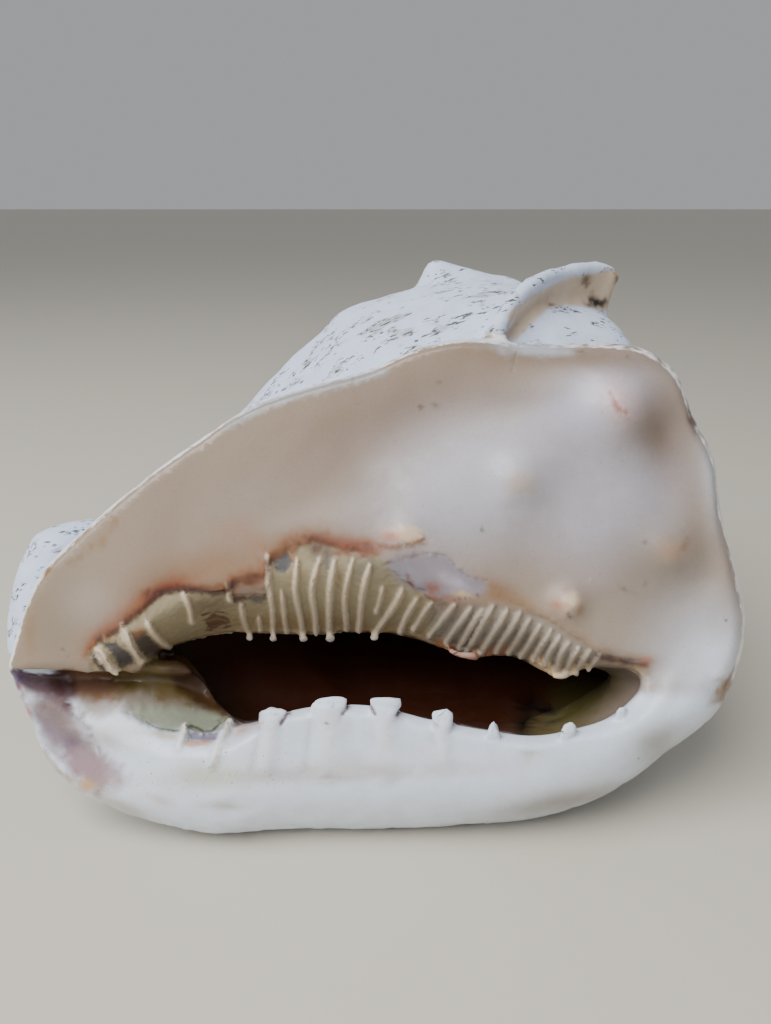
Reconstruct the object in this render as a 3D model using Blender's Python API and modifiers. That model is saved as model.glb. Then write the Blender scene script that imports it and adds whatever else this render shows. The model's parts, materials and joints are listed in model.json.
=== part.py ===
# A large helmet shell, resting on its outer lip and on the back of its body whorl,
# with the mouth to the front. The shell grew as one piece, so it is one solid.
#
# The mouth side is drawn on a face plane that leans back from upright. A point of it is
# (across, up, relief) in millimetres: across to the right, up along the leaning face, and
# relief out of the face, towards whoever looks at the mouth. What lies behind the face is
# widened with its depth, so the outlines drawn on the face are those seen from EYE in front.

import math

import bmesh
import bpy
from mathutils import Vector

MM = 0.001

# The face
LEAN = math.radians(20)
EYE = 310
FACE_HEIGHT = 118

# Spokes of the face, clockwise from the tip of the siphonal canal: each runs from the edge of
# the mouth to the outer rim. (mouth across, up, relief), band, plateau, roll,
# (rim across, up, relief), rim thickness. The surface climbs from the mouth to its plateau over
# the band, and rolls back to the rim over the roll.
SPOKES = [
    ((-134, -56.5, -3), 3, -2, 4, (-135.5, -55.0, -4), 5),
    ((-124, -56.6, 0), 3, 2, 7, (-131.6, -40.7, -5), 5),
    ((-113, -57.0, 1), 4, 3, 6, (-124.4, -23.0, -6), 5),
    ((-103, -58.2, 0), 6, 3, 6, (-108.9, -6.8, -6), 5),
    ((-92, -57.0, -9), 13, 3, 6, (-87.7, 11.2, -6), 5),
    ((-83, -51.5, -17), 18, 2, 6, (-67.5, 25.6, -6), 5),
    ((-72, -47.5, -24), 22, 2, 6, (-50.6, 36.7, -7), 5),
    ((-58, -44.0, -28), 24, 2, 6, (-30.8, 44.3, -8), 6),
    ((-42, -43.8, -30), 26, 2, 7, (-5.6, 51.5, -9), 6),
    ((-26, -44.2, -31), 28, 2, 7, (12.4, 59.4, -10), 6),
    ((-10, -43.6, -31), 29, 2, 7, (30.4, 62.6, -10), 7),
    ((6, -44.6, -30), 28, 2, 7, (52.0, 60.5, -10), 7),
    ((20, -49.0, -27), 24, 2, 8, (77.2, 60.8, -10), 8),
    ((34, -51.8, -24), 20, 1, 9, (92.6, 58.8, -9), 8),
    ((47, -51.6, -20), 17, 1, 10, (104.2, 50.4, -8), 8),
    ((58, -57.5, -17), 14, 1, 10, (110.7, 34.9, -8), 8),
    ((68, -56.4, -13), 11, 1, 10, (118.2, 18.7, -8), 9),
    ((78, -55.6, -9), 9, 1, 11, (121.0, -1.1, -8), 10),
    ((87, -56.4, -6), 7, 1, 12, (125.8, -19.1, -8), 11),
    ((92.5, -59.2, -5), 6, 1, 13, (129.4, -38.9, -8), 12),
    ((92.0, -63.0, -5), 6, 2, 15, (126.9, -55.1, -9), 14),
    ((88, -68.2, -4), 6, 3, 16, (119.7, -71.3, -9), 16),
    ((80, -74.2, -3), 6, 5, 17, (102.4, -85.7, -10), 18),
    ((68, -78.6, -3), 7, 6, 18, (79.0, -101.9, -10), 20),
    ((52, -80.8, -3), 7, 7, 19, (53.8, -110.2, -11), 22),
    ((34, -78.8, -3), 7, 7, 20, (23.2, -113.0, -12), 22),
    ((16, -75.6, -3), 7, 7, 20, (3.0, -113.8, -12), 22),
    ((-4, -71.6, -3), 7, 7, 20, (-16.4, -114.1, -11), 22),
    ((-22, -70.6, -3), 7, 7, 20, (-38.0, -114.2, -9), 22),
    ((-38, -73.0, -4), 8, 7, 20, (-59.6, -115.9, -6), 20),
    ((-51, -77.0, -8), 12, 6, 18, (-76.0, -113.6, -5), 18),
    ((-55, -73.5, -16), 22, 5, 15, (-92.0, -109.1, -5), 15),
    ((-61, -68.0, -22), 30, 3, 12, (-102.0, -105.0, -5), 12),
    ((-66, -59.5, -28), 38, 1, 9, (-111.4, -100.1, -5), 9),
    ((-77, -52.5, -31), 42, -2, 7, (-118.5, -93.6, -5), 7),
    ((-93, -58.0, -26), 33, -3, 6, (-122.5, -88.0, -5), 6),
    ((-104, -58.9, -22), 27, -3, 5, (-126.5, -79.5, -6), 5),
    ((-114, -57.7, -18), 20, -4, 5, (-130.5, -69.5, -6), 5),
    ((-125, -57.2, -14), 13, -4, 4, (-133.6, -61.5, -6), 5),
]
FACE_SEGMENTS = 76
FACE_RINGS = [0.0, 0.02, 0.06, 0.11, 0.17, 0.25, 0.35, 0.47, 0.60, 0.73, 0.84, 0.92, 0.97]
BACK_RINGS = [0.97, 0.90, 0.78, 0.58, 0.30]

# Swellings of the face: across, up, height and radius. They are knobs of the whorl beneath.
FACE_SWELLINGS = [
    (48.5, 11.0, 3.6, 9.0),
    (86.0, 38.0, 5.5, 12.0),
    (103.5, -12.5, 4.5, 9.0),
    (65.5, -33.5, 4.5, 6.5),
    (6.0, -8.5, 2.6, 7.0),
    (-5.0, -21.0, 1.6, 9.0),
]
# A broad fold of the face, from its foot to its head, and the hollow that runs beside the rim
FACE_RIDGE = ((0.0, -6.0), (84.0, 38.0), 4.5, 21.0)
FACE_HOLLOW = ((92.0, 34.0), (112.0, -24.0), -3.0, 9.0)

# The body whorl: stations along its axis, from the canal to the apex. Each is
# (across, up, depth) of the axis behind the face, and the whorl's radius there.
WHORL = [
    (-124, -46, 22, 9),
    (-116, -42, 24, 16),
    (-100, -32, 31, 26),
    (-80, -19, 42, 39),
    (-62, -9, 52, 48),
    (-37, 0, 64, 64),
    (-18, 4, 73, 81),
    (2, 7, 79, 90),
    (25, 10, 82, 94),
    (50, 13, 84, 93),
    (74, 15, 86, 86),
    (92, 17, 88, 79),
    (100, 18, 89, 70),
    (104, 18, 89, 60),
    (106, 19, 90, 50),
    (111, 20, 91, 46),
    (113, 20, 91, 36),
    (117, 21, 92, 32),
    (119, 21, 93, 23),
    (122, 21, 93, 18),
    (123, 22, 94, 10),
    (125, 22, 94, 4),
]
# The whorl's growth round its axis: degrees from straight down the face, going round the
# back to the top and the front, against the share of the radius. It ends in the lip.
GROWTH = [
    (0, 1.0),
    (30, 1.02),
    (60, 0.92),
    (95, 0.85),
    (140, 0.90),
    (180, 0.98),
    (215, 0.93),
    (245, 0.84),
    (290, 0.78),
    (315, 1.0),
    (340, 1.05),
]
# Where the whorl's last edge meets the back of the outer lip: (across, up, depth)
LIP_ROOT = [
    (-124, -78, 20),
    (-104, -90, 22),
    (-80, -98, 24),
    (-50, -101, 26),
    (-16, -100, 28),
    (20, -99, 30),
    (53, -96, 30),
    (79, -88, 28),
    (100, -74, 28),
    (112, -58, 30),
]
TABLE_GAP = 2.2  # the whorl clears the table by this, apart from its knobs
FRONT_GAP = 17  # how far the whorl stays behind the face
MOUTH_GAP = 20  # and how much farther behind the band at the mouth
LIP_FLARE = (34, 62)  # degrees over which the whorl widens to that edge, before and after it

WHORL_SEGMENTS = 56
WHORL_RINGS = 46
AXIS_TILT = 0.16  # how far a section leans back against the axis

# Rows of knobs round the whorl: across, height, radius, and the angles that they sit at
KNOB_ROWS = [
    (76, 17, 15, [25, 64, 102, 138]),
    (34, 13.5, 15, [36, 78, 118, 150]),
    (-4, 11, 13, [58, 98, 136]),
    (-14, 4, 9, [188]),
    (-38, 5, 11, [60, 96, 134, 186]),
]

# The horn of the whorl that stands over the face: (across, up, depth, radius)
HORN = [
    (28, 84, 79, 21),
    (26, 94, 77, 15.5),
    (24, 103, 74, 10.5),
    (23, 109, 72, 6.5),
    (22.8, 112, 71, 4),
]
# The ridge that runs down from the horn, and the knob beside the spire
HORN_RIDGE = [
    (27, 103.5, 73, 7.5),
    (34, 101.7, 74, 8),
    (42, 100, 75, 8),
    (51, 97.5, 76, 8.5),
    (60, 95.5, 77, 9),
]
SHOULDER_KNOB = [
    (94, 56, 88, 20),
    (101, 70, 85, 15.5),
    (105, 80.5, 82, 9.5),
]
# The old lip, left as a flange across the top of the whorl. Each row is its foot and its
# crest (across, up), its depth and its thickness.
FLANGE = [
    ((38, 58), (40, 68), 16, 5),
    ((44, 62), (47, 81), 22, 5),
    ((52, 66), (57.5, 92), 32, 5.5),
    ((64, 70), (69.5, 99.5), 46, 6),
    ((76, 74), (82.5, 104.7), 58, 6.5),
    ((86, 76), (92, 107.4), 66, 7),
    ((93, 77), (98.5, 106.4), 70, 7),
    ((97.5, 79), (100.5, 103.5), 72, 6.5),
]
FLANGE_EDGE = 4.2
# The siphonal canal, bent up and back behind the left end of the face
CANAL = [
    (-112, -60, 26, 11),
    (-132, -57, 27, 13.5),
    (-134.5, -44, 28, 13.5),
    (-133, -29, 30, 13.5),
    (-129.5, -17, 33, 13.5),
    (-122, -15.5, 40, 13),
    (-112, -14, 46, 12),
    (-103, -12, 52, 10),
]
# The floor of the canal, where it passes behind the inner lip
CANAL_FLOOR = [
    (-108, -52, 30, 8),
    (-92, -48, 37, 9),
    (-77, -45.5, 41.5, 9.5),
    (-67, -45, 45, 9),
]
CANAL_BORE = [
    (-66, -44, 58, 6),
    (-78, -44, 54, 5.5),
    (-90, -46, 47, 5),
    (-102, -49, 38, 4.6),
    (-114, -52, 30, 4.2),
    (-124, -51, 24, 4.2),
    (-132, -42, 27, 4.2),
    (-131, -28, 31, 3.8),
    (-126, -18, 36, 3.4),
    (-113, -14, 46, 3.4),
    (-100, -12, 60, 3.6),
]

# The hollow inside
WALL = 4.5
CAVITY_FRONT_GAP = 9
CAVITY_START = -34  # degrees from straight down the face
CAVITY_END = 308
CAVITY_RINGS = 19
CAVITY_SEGMENTS = 26
CAVITY_ACROSS = (-92, 112)
# The throat: how far each ring lies below the edge, its least depth, and how much narrower
THROAT = [(0, 0, 0), (0.5, 0, 0), (9, 0, 0), (12, 36, 0.15), (16, 56, 0.35)]
THROAT_TOP = 30
THROAT_LEFT = -66
THROAT_MIDDLE = (-2, -58)
CORE_SHARE = 0.24  # the solid middle, as a share of the whorl's radius

# Folds of the inner lip: (across, up) points down the fold, and the half width at its head
FOLDS = [
    ([(-106, -49), (-101, -52.5), (-98, -55.5)], 2.2),
    ([(-94.5, -42), (-92, -47), (-90, -51)], 1.9),
    ([(-85, -40), (-82, -44.5), (-79.5, -48)], 1.6),
    ([(-73.5, -28.5), (-71.5, -35), (-70, -40)], 1.5),
    ([(-54, -33), (-51, -39), (-49.5, -45.5)], 1.35),
    ([(-42.5, -22), (-42, -32), (-40, -46)], 1.5),
    ([(-37.5, -33), (-36, -39), (-35.5, -44)], 1.35),
    ([(-33.5, -22), (-32, -32), (-30.5, -46)], 1.88),
    ([(-23, -12), (-26, -28), (-25.5, -44)], 1.75),
    ([(-18, -17), (-20.5, -32), (-19, -46.5)], 2.12),
    ([(-13, -19), (-15.5, -32), (-14, -43)], 1.62),
    ([(-6.5, -17), (-8.5, -28), (-10, -43.5)], 2.12),
    ([(3.5, -30), (0, -39), (-3.5, -45.5)], 2.0),
    ([(12.5, -31), (9, -36), (6, -44)], 1.62),
    ([(19, -35), (14.5, -40), (11, -44.5)], 1.5),
    ([(25, -35.5), (21, -41), (17, -46)], 1.5),
    ([(30.5, -36), (26.5, -42), (22.5, -48.5)], 1.62),
    ([(36, -35), (32, -42), (28, -50)], 1.75),
    ([(41.5, -34), (37.5, -42), (33.5, -50.5)], 1.75),
    ([(47, -34), (42.5, -42), (38.5, -50.5)], 1.62),
    ([(52.5, -36.5), (48.5, -43), (44.5, -50)], 1.5),
    ([(57.5, -40.5), (53.5, -46), (50, -51)], 1.38),
    ([(62, -43), (58.5, -48.5), (56, -53)], 1.35),
    ([(66.5, -46), (63.5, -51), (61.5, -55.5)], 1.35),
    ([(71, -48.5), (68.5, -52.5), (66.5, -55.5)], 1.35),
    ([(76, -51.5), (73.5, -54), (71.5, -56)], 1.35),
    ([(-70.5, -74.0), (-71.5, -78), (-73.5, -83)], 1.5),
    ([(-56.5, -73.5), (-58, -78), (-61, -83)], 1.6),
]
FOLD_PROUD = 1.1  # how far the middle of a fold lies above the surface, in half widths
FOLD_HEAD_SUNK = 0.6
FOLD_SHARES = (0.35, 0.9, 1.0, 0.85, 0.7)  # its thickness from the head down

# Teeth of the outer lip: (across, up) of the tip, half width, and the foot of its ridge
TEETH = [
    ((-40.0, -72.6), 5.0, (-43.0, -90.0)),
    ((-19.5, -68.0), 6.4, (-21.0, -88.0)),
    ((0.0, -67.6), 5.4, (-1.5, -88.0)),
    ((20.8, -72.3), 4.0, (20.5, -86.0)),
    ((38.5, -77.2), 2.2, (38.5, -86.0)),
    ((65.5, -77.2), 2.8, (68.0, -83.0)),
    ((83.0, -71.6), 1.8, (86.0, -76.0)),
]

# Steps down a tooth: share of its length, and how far it lies below its tip and sinks into
# the lip, both in half widths
TOOTH_STEPS = [(0.0, 0.75, 0.85), (0.12, 0.75, 0.7), (0.4, 0.0, 0.75), (1.0, 0.0, 1.3)]
TOOTH_REACH = 4

# Sizes of the grids that fuse the forms, and the number of triangles at the end
OUTER_VOXEL = 1.6
HOLLOW_VOXEL = 1.5
FINE_VOXEL = 1.1
TRIANGLES = 9400

SHELL_COLOUR = (0.80, 0.76, 0.72, 1.0)


def face_point(across, up, relief):
    """The place of a face point in the room, in metres."""
    depth = -relief
    wider = 1 + depth / EYE
    x, v = across * wider, up * wider
    y = v * math.sin(LEAN) + depth * math.cos(LEAN)
    z = FACE_HEIGHT + v * math.cos(LEAN) - depth * math.sin(LEAN)
    return Vector((x, y, z)) * MM


def body_point(across, up, depth):
    """As face_point, but in plain millimetres that don't widen with depth."""
    y = up * math.sin(LEAN) + depth * math.cos(LEAN)
    z = FACE_HEIGHT + up * math.cos(LEAN) - depth * math.sin(LEAN)
    return Vector((across, y, z)) * MM


def curve_at(rows, place, closed=False):
    """Catmull-Rom through rows of numbers. place counts rows, and may lie between two."""
    count = len(rows)
    first = math.floor(place)
    part = place - first
    picked = []
    for step in (-1, 0, 1, 2):
        index = first + step
        picked.append(rows[index % count if closed else min(max(index, 0), count - 1)])
    out = []
    for p0, p1, p2, p3 in zip(*picked):
        slope_1, slope_2 = (p2 - p0) / 2, (p3 - p1) / 2
        out.append(
            (2 * part**3 - 3 * part**2 + 1) * p1
            + (part**3 - 2 * part**2 + part) * slope_1
            + (-2 * part**3 + 3 * part**2) * p2
            + (part**3 - part**2) * slope_2
        )
    return out


def squared(wave):
    """A sine or cosine, filled out towards a square."""
    return math.copysign(abs(wave) ** 0.6, wave)


def ease(share):
    share = min(max(share, 0.0), 1.0)
    return share * share * (3 - 2 * share)


def along_segment(across, up, foot, head):
    """How far a point lies along foot to head, from 0 to 1, and its distance from the line."""
    line = Vector(head) - Vector(foot)
    off = Vector((across, up)) - Vector(foot)
    share = min(max(off.dot(line) / line.length_squared, 0.0), 1.0)
    return share, (off - line * share).length


def swelling(across, up):
    """The relief that the whorl beneath gives the face."""
    total = 0.0
    for centre_across, centre_up, height, radius in FACE_SWELLINGS:
        away = math.hypot(across - centre_across, up - centre_up) / radius
        total += height * math.exp(-away * away)
    for foot, head, height, radius in (FACE_RIDGE, FACE_HOLLOW):
        share, away = along_segment(across, up, foot, head)
        total += height * math.exp(-((away / radius) ** 2)) * ease(share * 4 + 0.3)
    return total


def spoke_at(place):
    flat = [[*mouth, band, plateau, roll, *rim, thick] for mouth, band, plateau, roll, rim, thick in SPOKES]
    values = curve_at(flat, place, closed=True)
    return values[0:3], values[3], values[4], values[5], values[6:9], values[9]


def face_at(place, share):
    """A point of the face's front surface: place counts spokes, share runs from mouth to rim."""
    mouth, band, plateau, roll, rim, _ = spoke_at(place)
    across = mouth[0] + (rim[0] - mouth[0]) * share
    up = mouth[1] + (rim[1] - mouth[1]) * share
    length = math.hypot(rim[0] - mouth[0], rim[1] - mouth[1])
    gone, left = length * share, length * (1 - share)
    climb = math.sin(math.pi / 2 * min(gone / max(band, 1), 1.0))
    relief = mouth[2] + (plateau - mouth[2]) * climb
    relief += swelling(across, up) * ease(gone / 14) * ease(left / 12)
    if left < roll:
        over = 1 - left / roll
        relief -= (plateau - rim[2]) * (1 - math.sqrt(max(1 - over * over, 0.0)))
    return across, up, relief


def face_back_at(place, share):
    """A point of the back of the face's flange and lip."""
    _, _, _, _, rim, thick = spoke_at(place)
    across, up, _ = face_at(place, share)
    mouth = spoke_at(place)[0]
    left = math.hypot(rim[0] - mouth[0], rim[1] - mouth[1]) * (1 - share)
    round_over = min(left / (thick * 0.6), 1.0)
    relief = rim[2] - thick * math.sqrt(1 - (1 - round_over) ** 2) - 0.22 * left
    return across, up, relief


def add_loft(name, rings, collection):
    """A closed solid through rings of points, each end closed by a fan to its middle."""
    mesh = bmesh.new()
    rows = [[mesh.verts.new(point) for point in ring] for ring in rings]
    count = len(rings[0])
    for lower, upper in zip(rows, rows[1:]):
        for index in range(count):
            after = (index + 1) % count
            mesh.faces.new((lower[index], lower[after], upper[after], upper[index]))
    for row in (rows[0], rows[-1]):
        middle = mesh.verts.new(sum((vert.co for vert in row), Vector()) / count)
        for index in range(count):
            mesh.faces.new((row[index], row[(index + 1) % count], middle))
    bmesh.ops.recalc_face_normals(mesh, faces=mesh.faces)
    bmesh.ops.triangulate(mesh, faces=[face for face in mesh.faces if len(face.verts) > 4])
    data = bpy.data.meshes.new(name)
    mesh.to_mesh(data)
    mesh.free()
    made = bpy.data.objects.new(name, data)
    collection.objects.link(made)
    return made


def add_tube(name, rows, collection, sides=3):
    """A round-ended tube through (point in metres, radius in metres) rows, as a mesh."""
    curve = bpy.data.curves.new(name + "_curve", "CURVE")
    curve.dimensions = "3D"
    curve.bevel_depth = 1.0
    curve.bevel_resolution = sides
    curve.use_fill_caps = True
    spline = curve.splines.new("POLY")
    spline.points.add(len(rows) - 1)
    for target, (point, radius) in zip(spline.points, rows):
        target.co = (*point, 1)
        target.radius = radius
    bent = bpy.data.objects.new(name + "_bent", curve)
    bpy.context.scene.collection.objects.link(bent)
    bpy.context.view_layer.update()
    graph = bpy.context.evaluated_depsgraph_get()
    data = bpy.data.meshes.new_from_object(bent.evaluated_get(graph))
    mesh = bmesh.new()
    mesh.from_mesh(data)
    bmesh.ops.remove_doubles(mesh, verts=mesh.verts, dist=0.00001)
    bmesh.ops.recalc_face_normals(mesh, faces=mesh.faces)
    mesh.to_mesh(data)
    mesh.free()
    made = bpy.data.objects.new(name, data)
    made.matrix_world = bent.matrix_world
    bpy.data.objects.remove(bent)
    collection.objects.link(made)
    return made


def resampled(rows, count):
    """rows of numbers, resampled to count rows along their smooth curve."""
    last = len(rows) - 1
    return [curve_at(rows, last * index / (count - 1)) for index in range(count)]


def add_body_tube(name, rows, count, collection, sides=4):
    """A tube through (across, up, depth, radius) rows, smoothed into count of them."""
    smooth = [(body_point(*row[:3]), row[3] * MM) for row in resampled(rows, count)]
    return add_tube(name, smooth, collection, sides)


def add_flange(collection):
    """The old lip: a ribbon that stands out of the whorl."""
    rings = []
    flat = [[*foot, *crest, depth, thick] for foot, crest, depth, thick in FLANGE]
    for foot_across, foot_up, across, up, depth, thick in resampled(flat, 13):
        ring = []
        for step in range(12):
            turn = 2 * math.pi * step / 12
            share = 0.5 + 0.5 * math.cos(turn)
            away = math.sin(turn) * thick * (0.4 + 0.5 * share * share)
            at_across = foot_across + (across - foot_across) * share
            at_up = foot_up + (up - foot_up) * share
            ring.append(body_point(at_across, at_up, depth - 6 * share * share + away))
        rings.append(ring)
    edge = [row[2:] for row in resampled(flat, 13)]
    rows = [(body_point(across, up - 3, depth - 5), FLANGE_EDGE * MM) for across, up, depth, _ in edge]
    add_tube("flange_edge", rows, collection, sides=3)
    return add_loft("flange", rings, collection)


def add_face(collection):
    """The shield and the outer lip, as one lens-like plate that the mouth is cut through."""
    places = [len(SPOKES) * index / FACE_SEGMENTS for index in range(FACE_SEGMENTS)]
    rings = []
    for share in FACE_RINGS:
        rings.append([face_point(*face_at(place, share)) for place in places])
    rings.append([face_point(*face_at(place, 1.0)) for place in places])
    for share in BACK_RINGS:
        rings.append([face_point(*face_back_at(place, share)) for place in places])
    return add_loft("face", rings, collection)


def soft_least(one, other, width):
    """The smaller of two lengths, blended over a width where they are near."""
    near = max(width - abs(one - other), 0) / width
    return min(one, other) - near * near * width / 4


def lip_root_at(across):
    """The (up, depth) of the whorl's last edge at a distance across."""
    rows = LIP_ROOT
    if across <= rows[0][0]:
        return rows[0][1:]
    for low, high in zip(rows, rows[1:]):
        if across <= high[0]:
            share = (across - low[0]) / (high[0] - low[0])
            return [a + (b - a) * share for a, b in zip(low[1:], high[1:])]
    return rows[-1][1:]


def growth_at(angle):
    """The whorl's share of its radius at an angle in degrees."""
    angle %= 360
    rows = [*GROWTH, (GROWTH[0][0] + 360, GROWTH[0][1])]
    for (low, low_share), (high, high_share) in zip(rows, rows[1:]):
        if low <= angle <= high:
            return low_share + (high_share - low_share) * ease((angle - low) / (high - low))
    return rows[0][1]


def whorl_reach(station, angle, front_gap=FRONT_GAP):
    """The whorl's radius at a station and an angle, with its flare to the outer lip."""
    across, up, depth, radius = curve_at(WHORL, station * (len(WHORL) - 1))
    reach = radius * growth_at(angle)
    root_up, root_depth = lip_root_at(across)
    down, back = up - root_up, root_depth - depth
    root_angle = math.degrees(math.atan2(back, down))
    turn = (angle - root_angle + 180) % 360 - 180
    weight = 1 - ease(abs(turn) / LIP_FLARE[1 if turn > 0 else 0])
    if across > LIP_ROOT[-1][0]:
        weight *= max(1 - (across - LIP_ROOT[-1][0]) / 14, 0)
    if across < LIP_ROOT[0][0]:
        weight = 0
    reach += (max(math.hypot(down, back), reach) - reach) * weight
    lower = math.cos(math.radians(angle) - LEAN)
    if lower > 0.2:
        level = FACE_HEIGHT + up * math.cos(LEAN) - depth * math.sin(LEAN)
        most = (level - TABLE_GAP) / lower
        reach = soft_least(reach, most, 18)
    forward = -math.sin(math.radians(angle))
    if forward > 0.2:
        height = up - math.cos(math.radians(angle)) * reach
        level = ease((5 - height) / 20) - ease((-72 - height) / 14)
        beside = ease((across + 95) / 30) * ease((100 - across) / 25)
        front = front_gap + MOUTH_GAP * level * beside
        reach = soft_least(reach, (depth - front) / forward, 6)
    return reach


def whorl_point(station, angle, reach):
    """The point at a radius from the whorl's axis."""
    across, up, depth, _ = curve_at(WHORL, station * (len(WHORL) - 1))
    turn = math.radians(angle)
    down, back = math.cos(turn) * reach, math.sin(turn) * reach
    across -= AXIS_TILT * back - AXIS_TILT * 0.4 * down
    return body_point(across, up - down, depth + back)


def knob_height(station, angle, radius):
    """The knobs that stand out of the whorl."""
    across = curve_at(WHORL, station * (len(WHORL) - 1))[0]
    total = 0.0
    for row_across, height, knob_radius, angles in KNOB_ROWS:
        for knob_angle in angles:
            turn = (angle - knob_angle + 180) % 360 - 180
            away = math.hypot(across - row_across, math.radians(turn) * radius) / knob_radius
            total = max(total, height * math.exp(-(away**2)))
    return total


def add_whorl(collection):
    rings = []
    for index in range(WHORL_RINGS):
        station = index / (WHORL_RINGS - 1)
        radius = curve_at(WHORL, station * (len(WHORL) - 1))[3]
        ring = []
        for step in range(WHORL_SEGMENTS):
            angle = 360 * step / WHORL_SEGMENTS
            reach = whorl_reach(station, angle) + knob_height(station, angle, radius)
            ring.append(whorl_point(station, angle, max(reach, 0.5)))
        rings.append(ring)
    return add_loft("whorl", rings, collection)


def station_at(across):
    """The station whose axis point lies at that distance across."""
    low, high = 0.0, 1.0
    for _ in range(24):
        middle = (low + high) / 2
        if curve_at(WHORL, middle * (len(WHORL) - 1))[0] < across:
            low = middle
        else:
            high = middle
    return low


def add_cavity(collection):
    """The hollow of the whorl: a horn that curls round the solid middle of the shell."""
    rings = []
    middle = sum(CAVITY_ACROSS) / 2
    for index in range(CAVITY_RINGS):
        share = index / (CAVITY_RINGS - 1)
        angle = CAVITY_START + (CAVITY_END - CAVITY_START) * share
        taper = min(1.0, math.sqrt(1 - (1 - min(share / 0.12, 1)) ** 2) + 0.12)
        if share > 0.9:
            taper *= math.sqrt(1 - ((share - 0.9) / 0.1) ** 2) + 0.15
        ring = []
        for step in range(CAVITY_SEGMENTS):
            turn = 2 * math.pi * step / CAVITY_SEGMENTS
            half = (CAVITY_ACROSS[1] - CAVITY_ACROSS[0]) / 2 * (0.8 + 0.2 * taper)
            across = middle + half * squared(math.cos(turn))
            station = station_at(across)
            radius = curve_at(WHORL, station * (len(WHORL) - 1))[3]
            outer = whorl_reach(station, angle, CAVITY_FRONT_GAP) - WALL
            inner = min(radius * CORE_SHARE, outer - 4)
            centre, thick = (outer + inner) / 2, (outer - inner) / 2 * taper
            reach = centre + (outer - centre) * (1 - taper) * 0.6 + thick * squared(math.sin(turn))
            ring.append(whorl_point(station, angle, reach))
        rings.append(ring)
    return add_loft("cavity", rings, collection)


def add_throat(collection):
    """The way in from the mouth to the hollow."""
    places = [len(SPOKES) * index / FACE_SEGMENTS for index in range(FACE_SEGMENTS)]
    rings = []
    for sink, depth, narrower in THROAT:
        ring = []
        for place in places:
            across, up, relief = spoke_at(place)[0]
            level = min(relief - sink, -depth) if sink > 0 else THROAT_TOP
            if narrower:
                across = max(across + (THROAT_MIDDLE[0] - across) * narrower, THROAT_LEFT)
                up += (THROAT_MIDDLE[1] - up) * narrower
            ring.append(face_point(across, up, level))
        rings.append(ring)
    return add_loft("throat", rings, collection)


def nearest_relief(across, up):
    """The relief of the face's front at a point, from the spokes nearest to it."""
    best, found = 1e9, 0.0
    for index in range(FACE_SEGMENTS * 3):
        place = len(SPOKES) * index / (FACE_SEGMENTS * 3)
        mouth, _, _, _, rim, _ = spoke_at(place)
        share, away = along_segment(across, up, mouth[:2], rim[:2])
        if away < best:
            best, found = away, face_at(place, share)[2]
    return found


def add_folds(collection):
    """The folds of the inner lip, each a tapered ridge that runs down into the mouth."""
    for number, (points, half) in enumerate(FOLDS):
        rows = []
        for across, up in resampled(points, len(FOLD_SHARES)):
            sunk = half * (1 - FOLD_PROUD if rows else FOLD_HEAD_SUNK)
            rows.append([across, up, nearest_relief(across, up) - sunk])
        radii = [half * share * MM for share in FOLD_SHARES]
        tube = [(face_point(*row), radius) for row, radius in zip(rows, radii)]
        add_tube(f"fold_{number}", tube, collection, sides=1)


def add_teeth(collection):
    """The teeth of the outer lip, each with the low ridge that runs down from it."""
    for number, (tip, half, foot) in enumerate(TEETH):
        rows = []
        for share, lower, sunk in TOOTH_STEPS:
            across = tip[0] + (foot[0] - tip[0]) * share
            up = tip[1] + (foot[1] - tip[1]) * share - half * lower
            relief = nearest_relief(across, min(up, tip[1] - TOOTH_REACH))
            rows.append((face_point(across, up, relief - half * sunk), half * MM))
        add_tube(f"tooth_{number}", rows, collection, sides=2)


def add_table_cut(collection):
    """What would reach below the table is worn flat."""
    bpy.ops.mesh.primitive_cube_add(size=1, location=(0, 0.05, -0.05))
    cut = bpy.context.object
    cut.name = "table_cut"
    cut.scale = (0.6, 0.6, 0.1)
    for held in list(cut.users_collection):
        held.objects.unlink(cut)
    collection.objects.link(cut)
    return cut


def joined(name, sources, collection):
    """One mesh object of all the sources' meshes, which may run through each other."""
    mesh = bmesh.new()
    for source in sources:
        mesh.from_mesh(source.data)
    data = bpy.data.meshes.new(name)
    mesh.to_mesh(data)
    mesh.free()
    made = bpy.data.objects.new(name, data)
    collection.objects.link(made)
    return made


def baked(source, name, collection):
    """The object's mesh with its modifiers used up, as a new object."""
    bpy.context.view_layer.update()
    graph = bpy.context.evaluated_depsgraph_get()
    data = bpy.data.meshes.new_from_object(source.evaluated_get(graph))
    made = bpy.data.objects.new(name, data)
    collection.objects.link(made)
    return made


def fused(name, sources, voxel, rounds, collection):
    """One closed skin round all the sources, softened where they meet."""
    rough = joined(name + "_rough", sources, collection)
    remesh = rough.modifiers.new("fuse", "REMESH")
    remesh.mode = "VOXEL"
    remesh.voxel_size = voxel * MM
    if rounds:
        soften = rough.modifiers.new("soften", "SMOOTH")
        soften.factor = 0.5
        soften.iterations = rounds
    made = baked(rough, name, collection)
    bpy.data.objects.remove(rough)
    return made


def cut(target, tool, name, collection):
    """The target with the tool's volume taken away."""
    modifier = target.modifiers.new("cut_" + tool.name, "BOOLEAN")
    modifier.operation = "DIFFERENCE"
    modifier.object = tool
    modifier.solver = "EXACT"
    made = baked(target, name, collection)
    bpy.data.objects.remove(target)
    return made


def thinned(source, triangles, name, collection):
    modifier = source.modifiers.new("thin", "DECIMATE")
    bpy.context.view_layer.update()
    source.data.calc_loop_triangles()
    modifier.ratio = triangles / len(source.data.loop_triangles)
    modifier.use_collapse_triangulate = True
    made = baked(source, name, collection)
    bpy.data.objects.remove(source)
    return made


def helper_collection(name):
    made = bpy.data.collections.new(name)
    bpy.context.scene.collection.children.link(made)
    return made


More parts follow.
